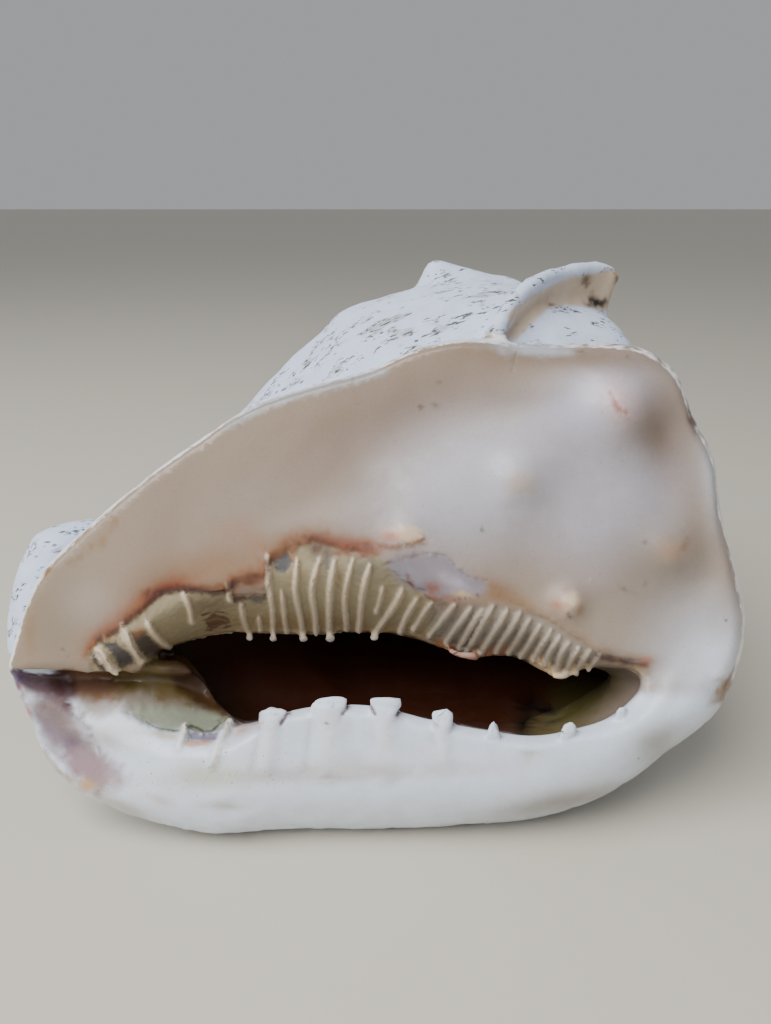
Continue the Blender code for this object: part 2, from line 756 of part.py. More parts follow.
def shell_material():
    material = bpy.data.materials.new("shell")
    material.use_nodes = True
    shader = material.node_tree.nodes["Principled BSDF"]
    shader.inputs["Base Color"].default_value = SHELL_COLOUR
    shader.inputs["Roughness"].default_value = 0.4
    shader.inputs["Metallic"].default_value = 0.0
    return material


def main():
    for held in list(bpy.data.objects):
        bpy.data.objects.remove(held)
    shell_parts = bpy.data.collections.new("helmet_shell")
    bpy.context.scene.collection.children.link(shell_parts)
    grown = helper_collection("grown_forms")
    hollows = helper_collection("hollows")
    small = helper_collection("small_forms")
    working = helper_collection("working")

    add_whorl(grown)
    add_face(grown)
    add_flange(grown)
    add_body_tube("horn", HORN, 7, grown)
    add_body_tube("horn_ridge", HORN_RIDGE, 7, grown)
    add_body_tube("shoulder_knob", SHOULDER_KNOB, 6, grown)
    add_body_tube("canal", CANAL, 10, grown)
    add_body_tube("canal_floor", CANAL_FLOOR, 6, grown)
    add_cavity(hollows)
    add_throat(hollows)
    add_body_tube("canal_bore", CANAL_BORE, 12, hollows, sides=3)
    add_folds(small)
    add_teeth(small)

    solid = fused("solid", grown.objects, OUTER_VOXEL, 2, working)
    hollow = fused("hollow", hollows.objects, HOLLOW_VOXEL, 2, working)
    open_shell = cut(solid, hollow, "open_shell", working)
    whole = fused("whole", [open_shell, *small.objects], FINE_VOXEL, 1, working)
    thin = thinned(whole, TRIANGLES, "thin", working)
    table = add_table_cut(working)
    shell = cut(thin, table, "helmet_shell", shell_parts)
    for helpers in (grown, hollows, small, working):
        for helper in list(helpers.objects):
            bpy.data.objects.remove(helper)
        bpy.data.collections.remove(helpers)

    low = Vector([min(vert.co[axis] for vert in shell.data.vertices) for axis in range(3)])
    high = Vector([max(vert.co[axis] for vert in shell.data.vertices) for axis in range(3)])
    shell.location = (-(low.x + high.x) / 2, -(low.y + high.y) / 2, 0)
    shell.data.materials.clear()
    shell.data.materials.append(shell_material())
    shell.data.shade_smooth()
    shell.data.set_sharp_from_angle(angle=math.radians(40))


main()
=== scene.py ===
import json
import math

import bpy
import numpy as np
from mathutils import Matrix, Vector
from mathutils.bvhtree import BVHTree

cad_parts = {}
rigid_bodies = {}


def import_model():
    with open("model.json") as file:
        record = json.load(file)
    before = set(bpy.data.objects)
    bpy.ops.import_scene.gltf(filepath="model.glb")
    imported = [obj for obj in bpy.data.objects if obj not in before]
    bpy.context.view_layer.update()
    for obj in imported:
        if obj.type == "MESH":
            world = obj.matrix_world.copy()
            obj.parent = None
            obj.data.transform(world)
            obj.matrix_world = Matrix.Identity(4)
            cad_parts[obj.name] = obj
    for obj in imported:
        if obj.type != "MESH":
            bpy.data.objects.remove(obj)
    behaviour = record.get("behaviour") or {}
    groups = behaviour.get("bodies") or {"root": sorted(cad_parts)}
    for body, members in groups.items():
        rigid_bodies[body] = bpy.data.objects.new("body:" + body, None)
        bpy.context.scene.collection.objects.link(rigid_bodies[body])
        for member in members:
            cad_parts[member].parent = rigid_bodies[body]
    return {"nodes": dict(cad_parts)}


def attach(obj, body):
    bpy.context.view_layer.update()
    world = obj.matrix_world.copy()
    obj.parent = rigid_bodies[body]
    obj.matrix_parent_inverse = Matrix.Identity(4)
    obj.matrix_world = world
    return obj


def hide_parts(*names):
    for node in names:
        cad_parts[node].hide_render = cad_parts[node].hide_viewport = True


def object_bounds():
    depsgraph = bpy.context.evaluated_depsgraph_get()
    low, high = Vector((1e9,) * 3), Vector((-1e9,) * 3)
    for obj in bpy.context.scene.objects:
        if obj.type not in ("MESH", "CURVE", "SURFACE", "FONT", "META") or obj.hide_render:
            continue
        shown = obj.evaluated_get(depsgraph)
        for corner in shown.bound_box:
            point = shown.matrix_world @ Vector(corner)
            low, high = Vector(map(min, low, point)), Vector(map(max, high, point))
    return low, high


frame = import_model()
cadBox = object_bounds()
print("frame loaded")

# The mouth side leans back from upright. A face point is (across, up, relief) in mm:
# across to the right, up along the leaning face, relief out towards whoever looks at the mouth.
# What lies behind the face is widened with its depth, as it is seen from the eye.
facePlane = {
    "lean": math.radians(20),
    "eye": 310.0,  # mm from the face to the eye
    "height": 118.0,  # mm, the place of the face's middle in the row's frame
    "shiftX": 6.6039,
    "shiftY": -67.291,
}

leanSin, leanCos = math.sin(facePlane["lean"]), math.cos(facePlane["lean"])


def toFace(points):  # from the row's frame in metres to face points
    x = points[:, 0] * 1000 - facePlane["shiftX"]
    y = points[:, 1] * 1000 - facePlane["shiftY"]
    z = points[:, 2] * 1000 - facePlane["height"]
    depth = y * leanCos - z * leanSin
    wider = 1 + depth / facePlane["eye"]
    return np.stack((x / wider, (y * leanSin + z * leanCos) / wider, -depth), 1)


def fromFace(points):  # from face points to the row's frame in metres
    points = np.asarray(points, float)
    depth = -points[:, 2]
    wider = 1 + depth / facePlane["eye"]
    x, v = points[:, 0] * wider, points[:, 1] * wider
    y = v * leanSin + depth * leanCos
    z = v * leanCos - depth * leanSin
    return np.stack((x + facePlane["shiftX"], y + facePlane["shiftY"], z + facePlane["height"]), 1) / 1000


def ease(share):  # a soft step from 0 to 1
    share = np.clip(share, 0.0, 1.0)
    return share * share * (3 - 2 * share)


def smoothRows(rows, places, closed=False):  # a smooth curve through rows of numbers
    rows = np.asarray(rows, float)
    first = np.floor(places).astype(int)
    part = (places - first)[:, None]
    picked = []
    for step in (-1, 0, 1, 2):
        index = (first + step) % len(rows) if closed else np.clip(first + step, 0, len(rows) - 1)
        picked.append(rows[index])
    slopeOne, slopeTwo = (picked[2] - picked[0]) / 2, (picked[3] - picked[1]) / 2
    return ((2 * part**3 - 3 * part**2 + 1) * picked[1] + (part**3 - 2 * part**2 + part) * slopeOne
            + (-2 * part**3 + 3 * part**2) * picked[2] + (part**3 - part**2) * slopeTwo)


# Mouth point, band width, plateau, roll width, rim point and rim thickness, clockwise from the canal's tip
faceRows = [
    (-134, -56.5, -3, 3, -2, 4, -135.5, -55, -4, 5), (-124, -56.6, 0, 3, 2, 7, -131.6, -40.7, -5, 5),
    (-113, -57, 1, 4, 3, 6, -124.4, -23, -6, 5), (-103, -58.2, 0, 6, 3, 6, -108.9, -6.8, -6, 5),
    (-92, -57, -9, 13, 3, 6, -87.7, 11.2, -6, 5), (-83, -51.5, -17, 18, 2, 6, -67.5, 25.6, -6, 5),
    (-72, -47.5, -24, 22, 2, 6, -50.6, 36.7, -7, 5), (-58, -44, -28, 24, 2, 6, -30.8, 44.3, -8, 6),
    (-42, -43.8, -30, 26, 2, 7, -5.6, 51.5, -9, 6), (-26, -44.2, -31, 28, 2, 7, 12.4, 59.4, -10, 6),
    (-10, -43.6, -31, 29, 2, 7, 30.4, 62.6, -10, 7), (6, -44.6, -30, 28, 2, 7, 52, 60.5, -10, 7),
    (20, -49, -27, 24, 2, 8, 77.2, 60.8, -10, 8), (34, -51.8, -24, 20, 1, 9, 92.6, 58.8, -9, 8),
    (47, -51.6, -20, 17, 1, 10, 104.2, 50.4, -8, 8), (58, -58, -17, 14, 1, 10, 110.7, 34.9, -8, 8),
    (68, -57.4, -13, 11, 1, 10, 118.2, 18.7, -8, 9), (78, -55.6, -9, 9, 1, 11, 121, -1.1, -8, 10),
    (87, -56.4, -6, 7, 1, 12, 125.8, -19.1, -8, 11), (92.5, -59.2, -5, 13, 1, 13, 129.4, -38.9, -8, 12),
    (92, -63, -5, 14, 2, 15, 126.9, -55.1, -9, 14), (88, -68.2, -4, 13, 3, 16, 119.7, -71.3, -9, 16),
    (80, -74.2, -2, 10, 5, 17, 102.4, -85.7, -10, 18), (68, -78.2, 0, 5, 6, 18, 79, -101.9, -10, 20),
    (52, -80.6, 1, 5, 7, 19, 53.8, -110.2, -11, 22), (34, -78.2, 2, 5, 7, 20, 23.2, -113, -12, 22),
    (16, -74.6, 2, 5, 7, 20, 3, -113.8, -12, 22), (-4, -69.9, 2, 5, 7, 20, -16.4, -114.1, -11, 22),
    (-22, -69.6, 2, 5, 7, 20, -38, -114.2, -9, 22), (-38, -72.6, 0, 5, 7, 20, -59.6, -115.9, -6, 20),
    (-51, -77, -8, 12, 6, 18, -76, -113.6, -5, 18), (-55, -73.5, -16, 22, 5, 15, -92, -109.1, -5, 15),
    (-61, -68, -22, 30, 3, 12, -102, -105, -5, 12), (-66, -59.5, -28, 38, 1, 9, -111.4, -100.1, -5, 9),
    (-77, -48, -31, 44, -2, 7, -118.5, -93.6, -5, 7), (-93, -52.5, -27, 37, -3, 6, -122.5, -88, -5, 6),
    (-104, -53.5, -24, 31, -3, 5, -126.5, -79.5, -6, 5), (-114, -54.5, -20, 23, -4, 5, -130.5, -69.5, -6, 5),
    (-125, -57.2, -14, 13, -4, 4, -133.6, -61.5, -6, 5),
]
rimRoll = {"shield": 0.45, "lip": 0.9}  # how much of the rows' roll width is used
faceSwellings = [  # across, up, height, radius
    (48.5, 11.0, 3.6, 9.0), (86.0, 38.0, 5.5, 12.0), (103.5, -12.5, 4.5, 9.0),
    (65.5, -33.5, 4.5, 6.5), (6.0, -8.5, 2.6, 7.0), (-5.0, -21.0, 1.6, 9.0),
]
faceFolds = [  # foot, head, height, radius of the broad fold and of the hollow beside the rim
    ((0.0, -6.0), (84.0, 38.0), 4.5, 21.0),
    ((92.0, 34.0), (112.0, -24.0), -3.0, 9.0),
]


def alongLine(across, up, foot, head):  # how far along foot to head a point lies, and how far off it
    course = np.array(head, float) - foot
    offAcross, offUp = across - foot[0], up - foot[1]
    share = np.clip((offAcross * course[0] + offUp * course[1]) / (course @ course), 0, 1)
    return share, np.hypot(offAcross - course[0] * share, offUp - course[1] * share)


def swelling(across, up):  # mm that the bumps and broad folds raise the face
    total = np.zeros_like(across)
    for middleAcross, middleUp, height, radius in faceSwellings:
        total += height * np.exp(-((across - middleAcross) ** 2 + (up - middleUp) ** 2) / radius**2)
    for foot, head, height, radius in faceFolds:
        share, away = alongLine(across, up, foot, head)
        total += height * np.exp(-((away / radius) ** 2)) * ease(share * 4 + 0.3)
    return total


def sheetPoints(places, shares):  # face points from the mouth's edge (share 0) to the rim (share 1)
    rows = smoothRows(faceRows, places, closed=True)
    mouth, band, plateau, roll, rim = rows[:, :3], rows[:, 3], rows[:, 4], rows[:, 5], rows[:, 6:9]
    across = mouth[:, 0] + (rim[:, 0] - mouth[:, 0]) * shares
    up = mouth[:, 1] + (rim[:, 1] - mouth[:, 1]) * shares
    length = np.hypot(rim[:, 0] - mouth[:, 0], rim[:, 1] - mouth[:, 1])
    gone, left = length * shares, length * (1 - shares)
    climb = np.sin(math.pi / 2 * np.clip(gone / np.maximum(band, 1), 0, 1))
    relief = mouth[:, 2] + (plateau - mouth[:, 2]) * climb
    relief += swelling(across, up) * ease(gone / 14) * ease(left / 12)
    roll = roll * np.where(up > -60, rimRoll["shield"], rimRoll["lip"])
    over = np.clip(1 - left / roll, 0, 1)
    relief -= (plateau - rim[:, 2]) * (1 - np.sqrt(1 - over * over))
    return np.stack((across, up, relief), 1), gone, left


# Helpers that pick, change and read objects


def selectOnly(piece):
    for held in bpy.context.view_layer.objects:
        held.select_set(False)
    piece.select_set(True)
    bpy.context.view_layer.objects.active = piece


def applied(piece, kind, **settings):  # adds a modifier, sets it and uses it up
    selectOnly(piece)
    modifier = piece.modifiers.new(kind.lower(), kind)
    for name, value in settings.items():
        setattr(modifier, name, value)
    bpy.ops.object.modifier_apply(modifier=modifier.name)


def pointsOf(piece):
    points = np.empty(len(piece.data.vertices) * 3)
    piece.data.vertices.foreach_get("co", points)
    return points.reshape(-1, 3)


def setPoints(piece, points):
    piece.data.vertices.foreach_set("co", np.ascontiguousarray(points, float).ravel())
    piece.data.update()


def normalsOf(piece):
    normals = np.empty(len(piece.data.vertices) * 3)
    piece.data.vertex_normals.foreach_get("vector", normals)
    return normals.reshape(-1, 3)


# The shell's body

shellSkin = {
    "firstGrid": 0.0013,  # metres, the grid that turns the facets into an even skin
    "firstSoften": 24,
    "fineGrid": 0.0007,  # the grid that takes the folds and teeth
    "fineSoften": 2,
    "weld": 0.00001,
}

selectOnly(frame["nodes"]["helmet_shell"])
bpy.ops.object.duplicate()
shell = bpy.context.active_object
shell.name = "shell_skin"
selectOnly(shell)
bpy.ops.object.mode_set(mode="EDIT")
bpy.ops.mesh.select_all(action="SELECT")
bpy.ops.mesh.remove_doubles(threshold=shellSkin["weld"])
bpy.ops.object.mode_set(mode="OBJECT")
applied(shell, "REMESH", mode="VOXEL", voxel_size=shellSkin["firstGrid"])
applied(shell, "SMOOTH", factor=0.5, iterations=shellSkin["firstSoften"])
print("skin", len(shell.data.vertices), "points")

sheetSize = (len(faceRows) * 14, 90)  # points round the mouth, and from the mouth to the rim


def faceSheet():  # the smooth face as a tree to look points up in, with how far each lies from mouth and rim
    around, outward = sheetSize
    places = np.repeat(np.arange(around) * len(faceRows) / around, outward)
    shares = np.tile(np.linspace(0, 1, outward) ** 1.25, around)
    points, gone, left = sheetPoints(places, shares)
    quads = []
    for ring in range(around):
        after = (ring + 1) % around
        for step in range(outward - 1):
            quads.append((ring * outward + step, ring * outward + step + 1,
                          after * outward + step + 1, after * outward + step))
    return BVHTree.FromPolygons([tuple(p) for p in points], quads), np.array(quads), gone, left, places


sheetTree, sheetQuads, sheetGone, sheetLeft, sheetTurn = faceSheet()
sheetReach = {"low": -45, "high": 20, "away": 6.0, "none": 99.0}  # mm; what lies beyond isn't on the sheet


def onSheet(points):  # nearest sheet point of each face point, its distance, and where on the sheet
    nearest = np.zeros_like(points)
    away = np.full(len(points), sheetReach["none"])
    quad = np.zeros(len(points), int)
    close = np.flatnonzero((points[:, 2] > sheetReach["low"]) & (points[:, 2] < sheetReach["high"]))
    for index in close:
        found, _, face, distance = sheetTree.find_nearest(Vector(points[index]), sheetReach["away"])
        if found is not None:
            nearest[index] = found
            away[index] = distance
            quad[index] = face
    return nearest, away, quad


def faceNormals(normals):  # normals of the row's frame, turned onto the face's own axes
    return np.stack((normals[:, 0], normals[:, 1] * leanSin + normals[:, 2] * leanCos,
                     -(normals[:, 1] * leanCos - normals[:, 2] * leanSin)), 1)


def settleOnFace(piece):  # lays the skin's front on the smooth sheet
    points = toFace(pointsOf(piece))
    nearest, away, quad = onSheet(points)
    gone = sheetGone[sheetQuads[quad]].mean(1)
    left = sheetLeft[sheetQuads[quad]].mean(1)
    facing = faceNormals(normalsOf(piece))[:, 2]
    pull = ease((4.2 - away) / 1.4) * ease((facing - 0.05) / 0.3)  # full where the skin looks out
    pull *= ease((gone - 0.4) / 1.5) * ease((left - 0.6) / 1.5)  # none at the mouth's edge and at the rim
    points += (nearest - points) * pull[:, None]
    setPoints(piece, fromFace(points))


settleOnFace(shell)
applied(shell, "SMOOTH", factor=0.5, iterations=2)
print("face laid on its sheet")

# Folds and teeth

lipEdge = {
    "wall": 3.4,  # mm, thickness of the face's plate at the edge of the mouth
    "shares": [  # places of the plate's rings from the mouth to the rim
        0, 0.006, 0.013, 0.022, 0.035, 0.05, 0.07, 0.09, 0.115, 0.14, 0.17, 0.2, 0.235, 0.27, 0.31, 0.35, 0.4,
        0.45, 0.5, 0.55, 0.6, 0.65, 0.7, 0.74, 0.78, 0.81, 0.84, 0.865, 0.89, 0.91, 0.93, 0.945, 0.96, 0.972,
        0.982, 0.99, 0.996, 1.0],
    "rimBack": (0.975, 0.94),  # of those round the rim
    "inner": (0.88, 0.7, 0.5, 0.3, 0.15, 0.06, 0.0),  # and of those back inside the solid
}


def closedMesh(name, points, rings, wrap):  # a piece from rings of face points; wrap joins last to first
    count = len(points) // rings
    quads = []
    for ring in range(rings if wrap else rings - 1):
        after = (ring + 1) % rings
        for step in range(count):
            beside = (step + 1) % count
            quads.append((ring * count + step, ring * count + beside,
                          after * count + beside, after * count + step))
    if not wrap:
        quads.append(tuple(range(count)))
        quads.append(tuple(reversed(range((rings - 1) * count, rings * count))))
    data = bpy.data.meshes.new(name)
    data.from_pydata([tuple(p) for p in fromFace(points)], [], quads)
    piece = bpy.data.objects.new(name, data)
    bpy.context.scene.collection.objects.link(piece)
    selectOnly(piece)
    bpy.ops.object.mode_set(mode="EDIT")
    bpy.ops.mesh.select_all(action="SELECT")
    bpy.ops.mesh.normals_make_consistent(inside=False)
    bpy.ops.object.mode_set(mode="OBJECT")
    return piece


def facePlate():  # the face's front as a ring-like plate with crisp edges at mouth and rim
    turns = sheetSize[0]
    places = np.arange(turns) * len(faceRows) / turns
    rows = smoothRows(faceRows, places, closed=True)
    rings = [sheetPoints(places, np.full(turns, share))[0] for share in lipEdge["shares"]]
    for share in lipEdge["rimBack"]:
        ring, _, left = sheetPoints(places, np.full(turns, share))
        thick = rows[:, 9]
        over = np.clip(left / (thick * 0.6), 0, 1)
        ring[:, 2] = rows[:, 8] - thick * np.sqrt(1 - (1 - over) ** 2) - 0.22 * left
        rings.append(ring)
    for share in lipEdge["inner"]:
        ring, gone, _ = sheetPoints(places, np.full(turns, share))
        ring[:, 2] -= lipEdge["wall"] + 3.5 * ease((gone - 6) / 25) * ease((0.95 - share) * 6)
        rings.append(ring)
    return closedMesh("face_plate", np.concatenate(rings), len(rings), wrap=True)


def reliefAt(across, up, near=-10):  # relief of the sheet below a face point, or of its edge beside it
    found = sheetTree.ray_cast(Vector((across, up, 60)), Vector((0, 0, -1)))[0]
    if found is None or abs(found[2] - near) > 25:
        found = sheetTree.find_nearest(Vector((across, up, near)))[0]
    return found[2]


def tubeAlong(name, points, radii, sides=10):  # a round-ended tube through face points
    points = np.asarray(points, float)
    count = len(points)
    ahead = np.gradient(points, axis=0)
    ahead /= np.linalg.norm(ahead, axis=1)[:, None]
    side = np.cross(ahead, (0, 0, 1))
    side /= np.linalg.norm(side, axis=1)[:, None]
    out = np.cross(side, ahead)
    rings = []
    for step in range(-2, count + 2):  # two smaller rings round each end
        index = min(max(step, 0), count - 1)
        beyond = abs(step - index)
        radius = radii[index] * (1, 0.8, 0.3)[beyond]
        onward = (0, 0.55, 0.95)[beyond] * (1 if step > index else -1)
        middle = points[index] + ahead[index] * radii[index] * onward
        turn = (np.arange(sides) * 2 * math.pi / sides)[:, None]
        rings.append(middle + radius * (np.cos(turn) * side[index] + np.sin(turn) * out[index]))
    return closedMesh(name, np.concatenate(rings), len(rings), wrap=False)


lipFolds = {
    "sunk": -0.25,  # how far a fold's middle lies below the surface, in half widths
    "waver": 0.22,  # how far it strays from a smooth line, in half widths
    "profile": (0.5, 0.9, 1.0, 0.95, 0.85, 0.8, 0.85, 1.15),  # its thickness from the head down
    "crest": 0.55,  # mm that the fine skin is raised along it
    "closeSet": 17,  # the first of the folds at the right, which stand close together
    "ledgeSteps": 14,
    "ledges": [  # half width and points of the hanging ledges
        (1.3, (19.6, -47.2), (23.2, -49.7), (27.5, -51.5), (33.3, -51.8), (38.3, -50.8), (42.7, -49.7)),
        (1.5, (54.9, -54), (58.9, -57.6), (62.8, -58.9), (67.1, -58), (70.7, -55.4)),
    ],
    "rows": [  # half width, points down the fold
        (1.9, (-103.9, -49.7), (-101.3, -53.3), (-97, -57.2)),
        (1.7, (-95.2, -41.4), (-91.6, -46.8), (-88, -53.3)),
        (1.3, (-85.9, -39.6), (-81.9, -45.4), (-77.6, -49.7)),
        (1.1, (-72.9, -29.2), (-71.1, -33.8), (-69.7, -39.6)), (1.0, (-57.1, -25.2), (-56, -31.7)),
        (1.0, (-52.4, -33.5), (-50.6, -39.6), (-49.1, -45)), (0.8, (-45.5, -38.2), (-45.2, -42.8)),
        (1.05, (-42.3, -15.8), (-42.3, -26.3), (-40.9, -35.3), (-40.1, -45.7)),
        (0.9, (-37.6, -28.8), (-36.5, -37.1), (-35.5, -43.6)),
        (1.15, (-31.9, -17.3), (-32.2, -28.1), (-30.8, -37.1), (-29.7, -45.7)),
        (1.15, (-23.6, -17.3), (-26.5, -28.1), (-25.7, -37.1), (-25, -43.6)),
        (1.4, (-18.5, -18), (-20.3, -28.1), (-20.3, -37.1), (-19.6, -45.4)),
        (1.05, (-12.1, -17.3), (-14.6, -29.9), (-13.9, -40.7), (-14.2, -42.5)),
        (1.25, (-5.6, -19.4), (-8.5, -31.7), (-9.9, -42.8)), (0.95, (-0.9, -27.4), (-3.4, -36)),
        (1.4, (5.9, -28.1), (1.6, -36), (-3.8, -44.6)), (1.3, (11, -31.7), (8.1, -37.1), (5.2, -43.2)),
        (1.25, (16.7, -33.1), (13.1, -37.8), (9.9, -42.5)), (1.2, (25, -33.5), (20.3, -38.9), (16, -45)),
        (1.2, (30.4, -34.6), (26.1, -41), (22.1, -47.2)), (1.25, (34.7, -35.6), (30.4, -42.5), (26.5, -49)),
        (1.25, (39.1, -34.2), (34, -41.8), (29.3, -50)), (1.25, (44.1, -35.3), (39.4, -42.5), (34.7, -50.8)),
        (1.2, (48.4, -36.4), (44.1, -43.9), (39.8, -50.4)),
        (1.15, (52, -38.9), (48.1, -45.4), (44.1, -50.8)), (1.1, (56, -41), (52, -46.8), (48.8, -52.2)),
        (1.1, (59.6, -42.8), (56, -48.2), (53.5, -53.6)), (1.05, (62.8, -45), (59.6, -50), (57.4, -55.1)),
        (1.0, (66.4, -47.2), (63.2, -51.5), (61.4, -56.9)), (1.0, (70, -49), (66.8, -53.3), (65, -59)),
        (1.0, (73.6, -50), (70.7, -54), (68.9, -58.3)), (0.95, (77.2, -51.5), (75.1, -54.4), (72.9, -56.9)),
    ],
}


def foldLines():  # points down each fold with the half width at each
    lines = []
    steps = len(lipFolds["profile"])
    for number, (half, *points) in enumerate(lipFolds["rows"]):
        course = smoothRows(points, np.linspace(0, len(points) - 1, steps * 2))
        course[:, 0] += np.sin(np.linspace(0, 5, len(course)) + number * 1.7) * half * lipFolds["waver"]
        thick = np.interp(np.linspace(0, 1, len(course)), np.linspace(0, 1, steps), lipFolds["profile"])
        lines.append((course, half * thick))
    return lines


foldCourses = foldLines()


def foldPieces():
    pieces = []
    for number, (course, widths) in enumerate(foldCourses):
        rows = []
        for (across, up), width in zip(course, widths):
            near = rows[-1][2] if rows else reliefAt(across, up)
            rows.append((across, up, reliefAt(across, up, near) - width * lipFolds["sunk"]))
        pieces.append(tubeAlong(f"fold_{number}", rows, widths))
    for number, (half, *points) in enumerate(lipFolds["ledges"]):
        course = smoothRows(points, np.linspace(0, len(points) - 1, lipFolds["ledgeSteps"]))
        rows = [(across, up, reliefAt(across, up) - 1.0) for across, up in course]
        widths = half * np.sin(np.linspace(0.5, 2.64, lipFolds["ledgeSteps"]))
        pieces.append(tubeAlong(f"ledge_{number}", rows, widths))
    return pieces


lipTeeth = {
    "profile": [  # depth, share of the outline and drop, from the root in the hollow to the front
        (-9.5, 0.4, -8.0), (-7.5, 0.62, -5.6), (-5.2, 0.8, -3.2), (-3.2, 0.93, -1.4), (-1.6, 1.0, -0.3),
        (-0.6, 1.0, 0), (0.1, 0.9, 0), (0.6, 0.62, 0)],
    "blocks": [  # outlines of the broad teeth
        [(-45.5, -73.4), (-44.5, -71.6), (-40.9, -70.6), (-36.5, -70.9), (-34.7, -72.4), (-35.1, -75.6),
         (-38, -79.5), (-44.5, -79.5)],
        [(-27.2, -72), (-26.1, -68.4), (-22.9, -67), (-18.5, -66.2), (-14.6, -66.6), (-13.5, -68),
         (-13.9, -72), (-16.4, -77), (-25.4, -77)],
        [(-5.6, -68.8), (-5.2, -67), (-0.2, -66.6), (4.9, -67), (5.6, -68.8), (4.5, -72), (3.4, -77),
         (-4.1, -77)],
        [(16.7, -73.4), (17.5, -71.6), (20, -70.9), (22.9, -71.3), (24.3, -72.7), (23.9, -76.3), (22.5, -81),
         (18.2, -81)],
        [(36.9, -78.5), (38, -76), (39.1, -75.2), (40.1, -77.4), (41.2, -81.6), (36.2, -81.6)],
        [(62.8, -79.2), (65, -76.3), (66.8, -75.2), (68.9, -77.4), (67.1, -81.3), (63.5, -82.4)],
        [(83, -71.6), (84.8, -70.2), (86.9, -70.6), (85.9, -73.6), (83.3, -75)],
    ],
    "ridges": [  # half width, sunk, points: the low ridges below the teeth, and two thin folds at the left
        (3.6, 0.82, (-40.5, -73.5), (-41, -79), (-42.3, -90)),
        (4.6, 0.86, (-20, -71), (-20, -78), (-21.1, -92)),
        (4.2, 0.86, (0.2, -70.5), (0.2, -78), (0.2, -92.5)),
        (2.8, 0.82, (20.7, -74), (20.9, -81), (21.4, -90)),
        (1.7, -0.35, (-71.8, -76.3), (-72.9, -80.3), (-74.7, -85)),
        (1.9, -0.25, (-56.3, -75.2), (-59.6, -82.4), (-63.5, -92.2)),
        (1.6, 0.6, (39.0, -77.5), (39.2, -81), (39.6, -84)),
        (1.8, 0.6, (65.6, -77.5), (65.4, -81), (66.5, -84)),
        (1.3, 0.6, (85, -72), (86, -75), (87.2, -77.5)),
    ],
    "ridgeSides": 16,
}


def toothPieces():
    pieces = []
    for number, outline in enumerate(lipTeeth["blocks"]):
        ring = smoothRows(outline, np.arange(len(outline) * 5) / 5, closed=True)
        middle = ring.mean(0)
        foot = reliefAt(middle[0], min(ring[:, 1]) - 0.5)
        rings = []
        for level, share, drop in lipTeeth["profile"]:
            shrunk = middle + (ring - middle) * share + (0, drop)
            rings.append(np.column_stack((shrunk, np.full(len(ring), foot + level - 0.4))))
        pieces.append(closedMesh(f"tooth_{number}", np.concatenate(rings), len(rings), wrap=False))
    for number, (half, sunk, *points) in enumerate(lipTeeth["ridges"]):
        course = smoothRows(points, np.linspace(0, len(points) - 1, 12))
        taper = np.linspace(0, 1, len(course))
        rows = [(across, up, reliefAt(across, up) - half * (sunk + 0.35 * down))
                for (across, up), down in zip(course, taper)]
        widths = half * (1 - 0.2 * taper)
        pieces.append(tubeAlong(f"ridge_{number}", rows, widths, lipTeeth["ridgeSides"]))
    return pieces


parts = [facePlate(), *foldPieces(), *toothPieces()]
selectOnly(shell)
for part in parts:
    part.select_set(True)
bpy.ops.object.join()
print("folds and teeth joined,", len(parts), "parts")

applied(shell, "REMESH", mode="VOXEL", voxel_size=shellSkin["fineGrid"])
applied(shell, "SMOOTH", factor=0.5, iterations=shellSkin["fineSoften"])
print("fine skin", len(shell.data.vertices), "points")

# Marks are stains, breaks, cracks and grooves, and some painted shade and painted highlight: places on the
# face with a colour, a depth or both


def cloud(points, size, seed):  # soft noise from -1 to 1, for points in mm
    grid = np.asarray(points, float) / size + seed * 7.31
    cell = np.floor(grid).astype(np.int64)
    part = grid - cell
    part = part * part * (3 - 2 * part)
    total = np.zeros(len(grid))
    for corner in range(8):
        offset = np.array([corner & 1, corner >> 1 & 1, corner >> 2 & 1])
        weight = np.prod(np.where(offset, part, 1 - part), axis=1)
        at = cell + offset
        code = (at[:, 0] * 73856093) ^ (at[:, 1] * 19349663) ^ (at[:, 2] * 83492791)
        code = ((code ^ (code >> 13)) * 60493 + seed * 977) & 0xFFFFFF
        code = ((code ^ (code >> 7)) * 40503 + 12345) & 0xFFFFFF
        total += weight * (code / 0x7FFFFF - 1)
    return total


def outlineAway(across, up, outline):  # distance to an outline, positive inside it
    best = np.full(len(across), 1e9)
    inside = np.zeros(len(across), bool)
    for one, two in zip(outline, outline[1:] + outline[:1]):
        best = np.minimum(best, alongLine(across, up, one, two)[1])
        crosses = (one[1] > up) != (two[1] > up)
        rise = two[1] - one[1] or 1e-9
        inside ^= crosses & (across < (two[0] - one[0]) * (up - one[1]) / rise + one[0])
    return np.where(inside, best, -best)


def lineAway(across, up, points):  # distance to a line
    best = np.full(len(across), 1e9)
    for one, two in zip(points, points[1:]):
        best = np.minimum(best, alongLine(across, up, one, two)[1])
    return best


def area(tint, strength, outline, soft, ragged=0.0, lift=0.0, zone=None):
    return {"zone": zone, "tint": tint, "strength": strength, "outline": outline, "soft": soft,
            "ragged": ragged, "lift": lift, "reach": soft + ragged, "places": outline}


def line(tint, strength, points, half, soft, ragged=0.0, lift=0.0, zone=None):
    return {"zone": zone, "tint": tint, "strength": strength, "line": points, "half": half, "soft": soft,
            "ragged": ragged, "lift": lift, "reach": half + soft + ragged, "places": points}


def spot(tint, strength, middle, radii, turn=0, ragged=0.0, power=2, lift=0.0, zone=None):
    return {"zone": zone, "tint": tint, "strength": strength, "middle": middle, "radii": radii,
            "turn": turn, "ragged": ragged, "power": power, "lift": lift,
            "reach": 2.6 * max(radii) + ragged, "places": [middle]}


